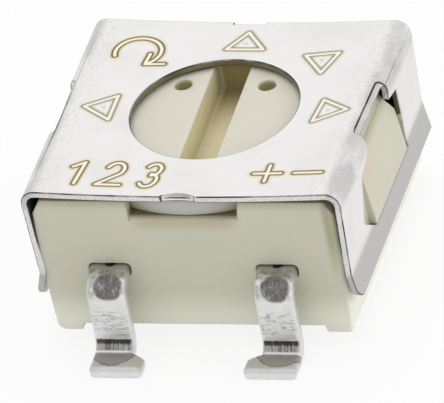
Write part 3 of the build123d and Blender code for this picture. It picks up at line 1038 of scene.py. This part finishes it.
def housing_profile():
    """The front view of the moulding, with a rounded left toe and a crisp right one."""
    rail_x, rail_top_x = RAIL_INNER_X
    left_toe = arc((-RAIL_OUTER_X + LEFT_TOE, RAIL_BOTTOM + LEFT_TOE), LEFT_TOE, 181, 270, 8)
    right_toe = arc((RAIL_OUTER_X - RIGHT_TOE, RAIL_BOTTOM + RIGHT_TOE), RIGHT_TOE, 270, 359, 4)
    return (
        [(-SHOULDER[0], BODY_TOP), (-BODY_HALF_X, SHOULDER[1]), (-BODY_HALF_X, DRAFT_TOP)]
        + left_toe
        + [(-rail_x, RAIL_BOTTOM), (-rail_top_x, BODY_BOTTOM)]
        + [(rail_top_x, BODY_BOTTOM), (rail_x, RAIL_BOTTOM)]
        + right_toe
        + [(BODY_HALF_X, DRAFT_TOP), (BODY_HALF_X, SHOULDER[1]), (SHOULDER[0], BODY_TOP)]
    )


def notch_tool():
    """The front wall's top notch, with a flat floor and a rounded lip."""
    low, high = NOTCH_SPAN
    outline = [(NOTCH_LEFT, low), (NOTCH_RIGHT, low), (NOTCH_RIGHT_TOP, high), (NOTCH_LEFT, high)]
    notch = extruded(outline, "Y", -REACH, -NOTCH_INNER_Y)
    lip = arc((-BODY_HALF_Y + NOTCH_LIP, SHELF - NOTCH_LIP), NOTCH_LIP, 180, 90, 6)
    floor = [(-BODY_HALF_Y, 1.8)] + lip + [(0, SHELF), (0, 1.8)]
    return combined(notch, [("DIFFERENCE", extruded(floor, "X", -REACH, REACH))])


def housing_block():
    """The moulding's outer block, with softly rounded upright corners on the right."""
    body = extruded(housing_profile(), "Y", -BODY_HALF_Y, BODY_HALF_Y)
    upright = []
    for edge in body.edges:
        ends = [v.co for v in edge.verts]
        on_right_wall = all(c.x > RAIL_OUTER_X - 0.005 and 0.25 < c.z < SHOULDER[1] + 0.01 for c in ends)
        if abs(ends[0].y - ends[1].y) < 1e-6 and on_right_wall:
            upright.append(edge)
    bmesh.ops.bevel(
        body, geom=upright, offset=CORNER_ROUND, offset_type="OFFSET", affect="EDGES", segments=5,
        profile=0.5, clamp_overlap=False, material=-1,
    )
    return body


def snap_lug():
    """The right side's lug, whose ramp stands in the cover's window."""
    ramp = [(2.13, 1.071), (2.352, 1.071), (2.345, 1.17), (2.236, 2.08), (2.13, 2.08)]
    return extruded(ramp, "Y", *LUG_SPAN)


def barb_pocket():
    """Cutter for the pocket behind the right side's lug."""
    outline = [(0.80, 2.52), (0.80, 2.19), (1.44, 1.39), (1.75, 1.39), (1.75, 2.52)]
    return extruded(outline, "X", POCKET_INNER_X, REACH)


def stop_post():
    """The post in the cavity that ends the rotor's turn."""
    inner, outer = POST_RADII
    first, last = -90 - POST_HALF_ANGLE, -90 + POST_HALF_ANGLE
    outline = arc((0, 0), outer, first, last, 8) + arc((0, 0), inner, last, first, 8)
    return extruded(outline, "Z", CAVITY_FLOOR - 0.02, POST_TOP)


def terminal_passages():
    """Cutters for the terminals' ways through the walls, each a little wider than its strip."""
    half_width = STRIP_WIDTH / 2 + PASSAGE_SIDE_GAP
    rim = strip_section(half_width, half_width, STRIP / 2 + PASSAGE_FACE_GAP, PASSAGE_ROUND)
    tools = []
    for x, low, high in (
        (-TERMINAL_X, -REACH, -FRONT_TAB_END),
        (TERMINAL_X, -REACH, -FRONT_TAB_END),
        (0, REAR_TAB_END, REACH),
    ):
        tools.append(extruded([(x + px, STRIP_Z + pz) for px, pz in rim], "Y", low, high))
    return tools


def moulded_housing():
    """The moulding with all its cuts, before its edges are rounded."""
    lug = snap_lug()
    pocket = barb_pocket()
    notch = notch_tool()
    changes = [
        ("UNION", mirrored(lug)),
        ("UNION", lug),
        ("DIFFERENCE", mirrored(pocket)),
        ("DIFFERENCE", pocket),
        ("DIFFERENCE", cylinder(CAVITY_RADIUS, CAVITY_FLOOR, REACH)),
        ("DIFFERENCE", cylinder(SEAL_RECESS_RADIUS, SHELF, REACH)),
        ("DIFFERENCE", half_turn(notch)),
        ("DIFFERENCE", notch),
        ("UNION", stop_post()),
    ]
    changes += [("DIFFERENCE", passage) for passage in terminal_passages()]
    return combined(housing_block(), changes)


class TRIMMER_OT_housing(bpy.types.Operator):
    """Builds the ivory housing"""

    bl_idname = "trimmer.housing"
    bl_label = "Build housing"

    def execute(self, context):
        bm = rounded(moulded_housing(), context.scene.trimmer_plastics.edge_round / MM, 40)
        finished("housing_moulding", bm, "base", ivory_finish(), ["housing"])
        return {"FINISHED"}


# Rotor


def turned(profile, steps=ROUND, closed=False):
    """A solid of revolution. Its profile is closed in itself, or else starts and ends on the axis."""
    bm = bmesh.new()
    chain = [bm.verts.new((r, 0, z)) for r, z in profile]
    followers = chain[1:] + chain[:1] if closed else chain[1:]
    edges = [bm.edges.new(pair) for pair in zip(chain, followers)]
    bmesh.ops.spin(
        bm, geom=chain + edges, cent=(0, 0, 0), axis=(0, 0, 1), dvec=(0, 0, 0), angle=2 * math.pi,
        steps=steps, use_merge=True,
    )
    bmesh.ops.remove_doubles(bm, verts=bm.verts, dist=0.0005)
    bmesh.ops.recalc_face_normals(bm, faces=bm.faces)
    return bm


def dimple_tool(x, y):
    """A blind dimple with a rounded floor and a flared mouth."""
    floor_r, floor_depth = DIMPLE_FLOOR_CENTRE
    lip_r, lip_depth = DIMPLE_LIP_CENTRE
    floor = arc((floor_r, ROTOR_TOP - floor_depth), DIMPLE_FLOOR_ROUND, -90, 0, 5)
    lip = arc((lip_r, ROTOR_TOP - lip_depth), DIMPLE_LIP, 180, 92, 6)
    outline = [(0, ROTOR_TOP - DIMPLE_DEPTH)] + floor + lip + [(DIMPLE_MOUTH, REACH), (0, REACH)]
    tool = turned(outline, 40)
    bmesh.ops.translate(tool, verts=tool.verts, vec=(x, y, 0))
    return tool


def rotor_blank():
    """The rotor's head, flange and pivot before it is cut."""
    head = [
        (0, ROTOR_TOP),
        (HEAD_TOP_RADIUS, ROTOR_TOP),
        (HEAD_RADIUS, ROTOR_TOP - HEAD_CHAMFER),
        (HEAD_RADIUS, FLANGE_TOP),
    ]
    flange = [(FLANGE_RADIUS, FLANGE_TOP), (FLANGE_RADIUS, FLANGE_BOTTOM), (PIVOT_RADIUS, FLANGE_BOTTOM)]
    return turned(head + flange + [(PIVOT_RADIUS, PIVOT_BOTTOM), (0, PIVOT_BOTTOM)])


def stop_clearance_tool():
    """Cutter that thins the flange's rim over the arc in which the stop post stands."""
    first, last = -90 - FREE_HALF_ANGLE, -90 + FREE_HALF_ANGLE
    outline = arc((0, 0), LOWER_TIER_RADIUS, first, last, 96) + arc((0, 0), REACH, last, first, 48)
    return extruded(outline, "Z", 1.0, LOWER_TIER_TOP)


def driver_slot_tool():
    """Cutter for the driver slot, turned a little as in the photo."""
    length = (-DRIVER_SLOT_HALF_LENGTH, DRIVER_SLOT_HALF_LENGTH)
    slot = box(DRIVER_SLOT_X, length, (DRIVER_SLOT_FLOOR, REACH))
    turn = Matrix.Rotation(math.radians(DRIVER_SLOT_TURN), 3, "Z")
    bmesh.ops.rotate(slot, cent=(0, 0, 0), matrix=turn, verts=slot.verts)
    return slot


def moulded_rotor():
    """The rotor with its cuts and the two rivets that hold the wiper, before its edges are rounded."""
    changes = [("DIFFERENCE", stop_clearance_tool()), ("DIFFERENCE", driver_slot_tool())]
    for x in DIMPLES_X:
        changes.append(("DIFFERENCE", dimple_tool(x, DIMPLE_Y)))
    for x in (-RIVET_X, RIVET_X):
        changes.append(("UNION", cylinder(RIVET_RADIUS, *RIVET_SPAN, x, 0.0, 32)))
    return combined(rotor_blank(), changes)


class TRIMMER_OT_rotor(bpy.types.Operator):
    """Builds the slotted rotor"""

    bl_idname = "trimmer.rotor"
    bl_label = "Build rotor"

    def execute(self, context):
        bm = rounded(moulded_rotor(), context.scene.trimmer_plastics.edge_round / MM, 40, 3)
        finished("rotor_moulding", bm, "rotor", cream_finish(), ["rotor"])
        return {"FINISHED"}


# Seal


class TRIMMER_OT_seal(bpy.types.Operator):
    """Builds the silicone seal ring"""

    bl_idname = "trimmer.seal"
    bl_label = "Build seal"

    def execute(self, context):
        lower = arc(SEAL_ROUND_CENTRES[0], SEAL_ROUND, -90, 0, 5)
        upper = arc(SEAL_ROUND_CENTRES[1], SEAL_ROUND, 0, 90, 5)
        profile = [(SEAL_INNER, SHELF)] + lower + upper + [(SEAL_INNER, BODY_TOP)]
        bm = turned(profile, 256, closed=True)
        finished("seal_ring", bm, "base", seal_finish(), ["seal"])
        return {"FINISHED"}


# Terminals


def strip_stations(tab_end):
    """Places along the strip's centre line: y, z, the outer face's angle and how far the section shrinks."""
    top = STRIP_Z - UPPER_BEND
    foot = STRIP / 2 + LOWER_BEND
    anchor = [-ANCHOR_NEAR, -ANCHOR_NEAR - ANCHOR_STEP, -ANCHOR_FAR + ANCHOR_STEP, -ANCHOR_FAR]
    ramp = np.linspace(-BODY_HALF_Y, -SHANK_Y + UPPER_BEND, 9)[:-1]
    stations = [(y, STRIP_Z, 90) for y in [-tab_end, *anchor, -BODY_HALF_Y + 0.02, *ramp]]
    for turn in range(90, 181, 5):
        angle = math.radians(turn)
        y = -SHANK_Y + UPPER_BEND * (1 + math.cos(angle))
        stations.append((y, top + UPPER_BEND * math.sin(angle), turn))
    stations += [(-SHANK_Y, z, 180) for z in np.linspace(top, foot, 34)[1:-1]]
    for turn in range(180, 89, -6):
        angle = math.radians(turn)
        y = -SHANK_Y - LOWER_BEND * (1 + math.cos(angle))
        stations.append((y, foot - LOWER_BEND * math.sin(angle), turn))
    end_y = -FOOT_END_Y + END_ROUND
    stations += [(y, STRIP / 2, 90) for y in np.linspace(-SHANK_Y - LOWER_BEND, end_y, 13)[1:]]
    stations = [(*station, 0.0) for station in stations]
    for turn in (30, 60, 90):
        angle = math.radians(turn)
        y = end_y - END_ROUND * math.sin(angle)
        stations.append((y, STRIP / 2, 90, END_ROUND * (1 - math.cos(angle))))
    return stations


def strip_section(left, right, half, radius):
    """A rounded rectangle of x and height above the centre line, from the outer face's left end on."""
    columns = [(x, half) for x in np.linspace(-left + radius, right - radius, 25)[1:-1]]
    back = [(x, -half) for x in np.linspace(right - radius, -left + radius, 5)[1:-1]]
    return (
        arc((-left + radius, half - radius), radius, 180, 90, 4)
        + columns
        + arc((right - radius, half - radius), radius, 90, 0, 4)
        + arc((right - radius, radius - half), radius, 0, -90, 4)
        + back
        + arc((-left + radius, radius - half), radius, -90, -180, 4)
    )


def tool_dents(x, run):
    """How deep a press or a bending tool has marked the outer face."""
    coin = max(0.0, 1 - (math.hypot(x - COIN_X, run - COIN_RUN) / COIN_RADIUS) ** 6)
    nick = max(0.0, 1 - abs(x) / NICK_HALF[0]) * max(0.0, 1 - abs(run) / NICK_HALF[1])
    wrinkled = WRINKLED_RUN[0] < run < WRINKLED_RUN[1]
    wave = noise.noise(Vector((x * 3, run * 14, 2.0))) if wrinkled else 0.0
    return COIN_DEPTH * coin + NICK_DEPTH * nick + WRINKLE_DEPTH * max(0.0, wave)


def bridged(bm, rings):
    """Joins each ring of vertices to the next and closes both ends."""
    for first, second in zip(rings, rings[1:]):
        for i in range(len(first)):
            j = (i + 1) % len(first)
            bm.faces.new((first[i], first[j], second[j], second[i]))
    bm.faces.new(rings[0])
    bm.faces.new(rings[-1])
    bmesh.ops.recalc_face_normals(bm, faces=bm.faces)


def bent_terminal(tab_end, left_extra, right_extra):
    """One gull-wing terminal on the centre plane, with its foot widened to the left and right."""
    half = STRIP / 2
    bm = bmesh.new()
    across = bm.verts.layers.float.new("strip_across")
    along = bm.verts.layers.float.new("strip_run")
    outward = bm.verts.layers.float.new("strip_outer")
    rings = []
    run = 0.0
    last = None
    for y, z, turn, inset in strip_stations(tab_end):
        angle = math.radians(turn)
        face = Vector((0, math.cos(angle), math.sin(angle)))
        spread = min(1.0, max(0.0, (-y - FLARE_START_Y) / FLARE_LENGTH))
        in_anchor = -ANCHOR_FAR + ANCHOR_STEP / 2 < y < -ANCHOR_NEAR
        sides = STRIP_WIDTH / 2 + (ANCHOR_EXTRA if in_anchor else 0.0) - inset
        outer = Vector((0, y, z)) + face * half
        if last is not None and y < -BODY_HALF_Y:
            run += (outer - last).length
        last = outer
        left = sides + spread * left_extra
        right = sides + spread * right_extra
        radius = max(LEAST_ROUND, STRIP_ROUND - inset)
        sway = STRIP_SWAY * min(1.0, run / SWAY_RUN)
        ring = []
        for x, height in strip_section(left, right, half - inset, radius):
            if height > half - inset - 1e-6 and y < -BODY_HALF_Y + 0.01:
                height -= tool_dents(x, run)
            vert = bm.verts.new(Vector((x + sway, y, z)) + face * height)
            vert[across] = x
            vert[along] = run
            vert[outward] = 1.0 if height > half - STRIP_ROUND - 1e-6 else 0.0
            ring.append(vert)
        rings.append(ring)
    bridged(bm, rings)
    return bm


class TRIMMER_OT_terminals(bpy.types.Operator):
    """Builds the three gull-wing terminals"""

    bl_idname = "trimmer.terminals"
    bl_label = "Build terminals"

    def execute(self, context):
        tin = tin_finish()
        for number, x, tab_end, left, right in (
            (1, -TERMINAL_X, FRONT_TAB_END, 0.0, FLARE),
            (2, 0.0, REAR_TAB_END, FLARE / 2, FLARE / 2),
            (3, TERMINAL_X, FRONT_TAB_END, FLARE, 0.0),
        ):
            bm = bent_terminal(tab_end, left, right)
            if number == 2:
                turn = Matrix.Rotation(math.pi, 3, "Z")
                bmesh.ops.rotate(bm, cent=(0, 0, 0), matrix=turn, verts=bm.verts)
            bmesh.ops.translate(bm, verts=bm.verts, vec=(x, 0, 0))
            name = "terminal_strip_%d" % number
            finished(name, bm, "base", tin, ["terminal_%d" % number], smooth_angle=40.0)
        return {"FINISHED"}


# Engraved marks


def stroke_distance(points, x, y):
    """Distance from each place to a stroke through points."""
    best = np.full(x.shape, FAR)
    for (ax, ay), (bx, by) in zip(points, points[1:]):
        dx, dy = bx - ax, by - ay
        share = np.clip(((x - ax) * dx + (y - ay) * dy) / (dx * dx + dy * dy), 0, 1)
        best = np.minimum(best, np.hypot(x - ax - share * dx, y - ay - share * dy))
    return best


def triangle(tip, first, second):
    """A pointer: a closed outline and, inside it, a smaller faint one."""
    corners = [tip, first, second]
    centre = [sum(c[i] for c in corners) / 3 for i in range(2)]
    inner = [tuple(centre[i] + 0.36 * (c[i] - centre[i]) for i in range(2)) for c in corners]
    return [(corners + corners[:1], 0.75), (inner + inner[:1], 0.22)]


def turn_arrow(centre, radius):
    """A generic turning arrow: three quarters of a circle and a two-stroke head."""
    bend = arc(centre, radius, 200, -60, 24)
    end = bend[-1]
    head = [(end[0] + 0.02, end[1] + 0.26), end, (end[0] + 0.28, end[1] + 0.02)]
    return [(bend, 1.0), (head, 1.0)]


def slanted(points, x, y, width, height, slant):
    """Points of a unit glyph box placed on the plate and leaned over."""
    return [(x + px * width + slant * py * height, y + py * height) for px, py in points]


def digit_strokes(digit, x, y, width, height, slant):
    """The strokes of a plain drawn digit with its lower left corner at x, y."""
    shapes = {
        "1": [[(0.25, 0.78), (0.62, 1.0), (0.62, 0.0)]],
        "2": [arc((0.5, 0.70), 0.32, 160, -30, 10) + [(0.06, 0.0), (0.94, 0.0)]],
        "3": [arc((0.5, 0.74), 0.27, 150, -90, 10), arc((0.5, 0.25), 0.30, 90, -150, 10)],
    }
    return [(slanted(stroke, x, y, width, height, slant), 0.95) for stroke in shapes[digit]]


def plus_minus(x, y, width, height):
    """A plus sign and a minus sign."""
    mid = y + height / 2
    plus = [[(x, mid), (x + width, mid)], [(x + width / 2, y), (x + width / 2, y + height)]]
    minus = [[(x + width * 1.5, mid), (x + width * 2.5, mid)]]
    return [(stroke, 0.95) for stroke in plus + minus]


def patch_grid(strokes):
    """A flat fine grid that reaches a little past the strokes on every side."""
    places = [place for points, _ in strokes for place in points]
    margin = MARK_REACH + MARK_PITCH
    low = [min(p[i] for p in places) - margin for i in range(2)]
    high = [max(p[i] for p in places) + margin for i in range(2)]
    counts = [max(2, int((high[i] - low[i]) / MARK_PITCH)) for i in range(2)]
    centre = Matrix.Translation(((low[0] + high[0]) / 2, (low[1] + high[1]) / 2, 0))
    spread = Matrix.Diagonal(((high[0] - low[0]) / 2, (high[1] - low[1]) / 2, 1, 1))
    bm = bmesh.new()
    bmesh.ops.create_grid(
        bm, x_segments=counts[0], y_segments=counts[1], size=1.0, matrix=centre @ spread
    )
    return bm


def nearest_strokes(bm, strokes):
    """For each vertex, the distance to the nearest stroke and that stroke's heat."""
    x = np.array([v.co.x for v in bm.verts])
    y = np.array([v.co.y for v in bm.verts])
    nearest = np.full(x.shape, FAR)
    warmth = np.zeros(x.shape)
    for points, heat in strokes:
        gap = stroke_distance(points, x, y)
        closer = gap < nearest
        nearest = np.where(closer, gap, nearest)
        warmth = np.where(closer, heat, warmth)
    return nearest.tolist(), warmth.tolist()


def mark_patch(strokes):
    """The plate's skin round some strokes: a fine grid with a low ridge beside each stroke."""
    bm = patch_grid(strokes)
    nearest, warmth = nearest_strokes(bm, strokes)
    near_layer = bm.verts.layers.float.new("mark_near")
    heat_layer = bm.verts.layers.float.new("mark_heat")
    bm.verts.ensure_lookup_table()
    far = []
    for vert, gap, heat in zip(bm.verts, nearest, warmth):
        vert[near_layer] = max(0.0, 1 - gap / MARK_REACH)
        vert[heat_layer] = heat
        ridge = math.exp(-(((gap - RIDGE_AT) / RIDGE_WIDTH) ** 2))
        skin = SKIN * min(1.0, (MARK_REACH - gap) / SKIN_FADE) if gap < MARK_REACH else SUNK
        vert.co.z = plate_height(vert.co.x) + skin + RIDGE_HEIGHT * heat * ridge
        if gap > MARK_REACH + MARK_PITCH:
            far.append(vert)
    bmesh.ops.delete(bm, geom=far, context="VERTS")
    lower = bmesh.ops.extrude_face_region(bm, geom=bm.faces[:], use_keep_orig=True)
    moved = [v for v in lower["geom"] if isinstance(v, bmesh.types.BMVert)]
    bmesh.ops.translate(bm, verts=moved, vec=(0, 0, -MARK_DEPTH))
    bmesh.ops.recalc_face_normals(bm, faces=bm.faces)
    return bm


class TRIMMER_OT_marks(bpy.types.Operator):
    """Engraves plain pointers, digits and signs on the cover"""

    bl_idname = "trimmer.marks"
    bl_label = "Engrave marks"

    def execute(self, context):
        steel = bpy.data.materials["rolled_steel"]
        digits = []
        for digit, x in (("1", -1.86), ("2", -1.32), ("3", -0.76)):
            digits += digit_strokes(digit, x, y=-1.90, width=0.40, height=0.52, slant=0.10)
        groups = {
            "marks_digits": digits,
            "marks_signs": plus_minus(0.98, -1.80, width=0.40, height=0.40),
            "marks_turn_arrow": turn_arrow((-1.48, 1.36), 0.34),
            "mark_pointer_left": triangle((-1.93, -0.02), (-1.50, 0.27), (-1.50, -0.32)),
            "mark_pointer_back": triangle((0.04, 1.90), (-0.20, 1.48), (0.35, 1.48)),
            "mark_pointer_right": triangle((1.98, -0.05), (1.58, 0.20), (1.53, -0.33)),
            "mark_pointer_corner": triangle((1.36, 0.88), (1.03, 1.32), (1.52, 1.38)),
        }
        for name, strokes in groups.items():
            finished(name, mark_patch(strokes), "base", steel)
        return {"FINISHED"}


# Inner pieces, which keep their packed meshes


class TRIMMER_OT_hidden(bpy.types.Operator):
    """Gives the pieces inside the housing their finishes"""

    bl_idname = "trimmer.hidden"
    bl_label = "Finish inner pieces"

    def execute(self, context):
        for name, colour, second, metallic, roughness, scale, nodes in INNER_FINISHES:
            material = plain_finish(name, colour, second, metallic, roughness, scale)
            for node in nodes:
                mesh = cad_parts[node].data
                mesh.materials.clear()
                mesh.materials.append(material)
        return {"FINISHED"}


# Stage


def floor_finish():
    """White paper that shows white to the camera and keeps a soft shadow."""
    paper = Finish("studio_paper", Base_Color=PAPER, Roughness=0.9)
    glow = paper.add("ShaderNodeEmission", {}, {"Strength": 1.0})
    matt = Signal(paper, paper.surface.outputs["BSDF"])
    paper.show_mixed(paper.looked_at() * PAPER_GLOW, matt, glow)
    return paper.material


def studio_world(strength):
    """Even light from all round, white where the camera or a reflection looks at it."""
    world = bpy.data.worlds.new("studio_room")
    world.use_nodes = True
    world.node_tree.nodes.remove(world.node_tree.nodes["Background"])
    room = Shader(world.node_tree)
    light = room.add("ShaderNodeBackground", {}, {"Color": (1.0, 1.0, 1.0), "Strength": strength})
    white = room.add("ShaderNodeBackground", {}, {"Color": (1.0, 1.0, 1.0), "Strength": 1.0})
    room.show_mixed(room.looked_at(), light, white)
    bpy.context.scene.world = world


def add_camera(stage):
    """A long lens that looks at the part from the stage's angles and distance."""
    azimuth = stage.azimuth
    roll = stage.roll
    right = Vector((math.cos(azimuth), math.sin(azimuth), 0))
    flat = math.cos(stage.elevation)
    back = Vector((math.sin(azimuth) * flat, -math.cos(azimuth) * flat, math.sin(stage.elevation)))
    up = back.cross(right)
    rolled_right = right * math.cos(roll) + up * math.sin(roll)
    rolled_up = up * math.cos(roll) - right * math.sin(roll)
    target = Vector((0, 0, AIM_HEIGHT * MM)) + right * AIM_SIDE * MM
    target += rolled_right * AIM_SHIFT[0] * MM + rolled_up * AIM_SHIFT[1] * MM
    data = bpy.data.cameras.new("camera")
    data.lens = LENS
    data.sensor_width = SENSOR
    data.clip_start = 0.01
    data.clip_end = 10.0
    camera = bpy.data.objects.new("camera", data)
    turn = Matrix((rolled_right, rolled_up, back)).transposed().to_4x4()
    camera.matrix_world = Matrix.Translation(target + back * stage.distance) @ turn
    bpy.context.scene.collection.objects.link(camera)
    bpy.context.scene.camera = camera


def add_lamp(name, place, size, power):
    """A square softbox that faces the part."""
    data = bpy.data.lights.new(name, "AREA")
    data.size = size
    data.energy = power
    lamp = bpy.data.objects.new(name, data)
    lamp.visible_glossy = False
    lamp.location = place
    lamp.rotation_euler = (Vector(LAMP_AIM) - lamp.location).to_track_quat("-Z", "Y").to_euler()
    bpy.context.scene.collection.objects.link(lamp)


class TRIMMER_OT_stage(bpy.types.Operator):
    """Lays the floor and sets the lamps, the room and the camera"""

    bl_idname = "trimmer.stage"
    bl_label = "Set stage"

    def execute(self, context):
        stage = context.scene.trimmer_stage
        bm = bmesh.new()
        bmesh.ops.create_grid(bm, x_segments=1, y_segments=1, size=FLOOR_HALF)
        mesh = bpy.data.meshes.new("studio_floor")
        bm.to_mesh(mesh)
        bm.free()
        mesh.materials.append(floor_finish())
        floor = bpy.data.objects.new("studio_floor", mesh)
        context.scene.collection.objects.link(floor)
        studio_world(stage.daylight)
        add_lamp("overhead_softbox", (-0.02, 0.06, 0.16), 0.14, stage.softbox)
        add_lamp("side_softbox", (0.16, 0.03, 0.08), 0.10, stage.softbox * 0.6)
        add_camera(stage)
        context.scene.view_settings.view_transform = "Standard"
        return {"FINISHED"}


class TRIMMER_PT_panel(bpy.types.Panel):
    """Lists the trimmer's pieces and settings"""

    bl_idname = "TRIMMER_PT_panel"
    bl_label = "Trimmer"
    bl_space_type = "VIEW_3D"
    bl_region_type = "UI"
    bl_category = "Trimmer"

    def draw(self, context):
        for name, group in SETTINGS:
            settings = getattr(context.scene, name)
            column = self.layout.column()
            column.label(text=group.__doc__)
            for key in group.__annotations__:
                column.prop(settings, key)
        for operator in OPERATORS:
            self.layout.operator(operator.bl_idname)


SETTINGS = [
    ("trimmer_cover", TrimmerCover),
    ("trimmer_plastics", TrimmerPlastics),
    ("trimmer_terminals", TrimmerTerminals),
    ("trimmer_stage", TrimmerStage),
]
OPERATORS = [
    TRIMMER_OT_cover,
    TRIMMER_OT_marks,
    TRIMMER_OT_housing,
    TRIMMER_OT_rotor,
    TRIMMER_OT_seal,
    TRIMMER_OT_terminals,
    TRIMMER_OT_hidden,
    TRIMMER_OT_stage,
]


def register():
    for name, group in SETTINGS:
        bpy.utils.register_class(group)
        setattr(bpy.types.Scene, name, bpy.props.PointerProperty(type=group))
    for operator in OPERATORS:
        bpy.utils.register_class(operator)
    bpy.utils.register_class(TRIMMER_PT_panel)


def unregister():
    bpy.utils.unregister_class(TRIMMER_PT_panel)
    for operator in reversed(OPERATORS):
        bpy.utils.unregister_class(operator)
    for name, group in reversed(SETTINGS):
        delattr(bpy.types.Scene, name)
        bpy.utils.unregister_class(group)


def main():
    register()
    bpy.ops.trimmer.cover()
    bpy.ops.trimmer.marks()
    bpy.ops.trimmer.housing()
    bpy.ops.trimmer.rotor()
    bpy.ops.trimmer.seal()
    bpy.ops.trimmer.terminals()
    bpy.ops.trimmer.hidden()
    bpy.ops.trimmer.stage()


if __name__ == "__main__":
    main()
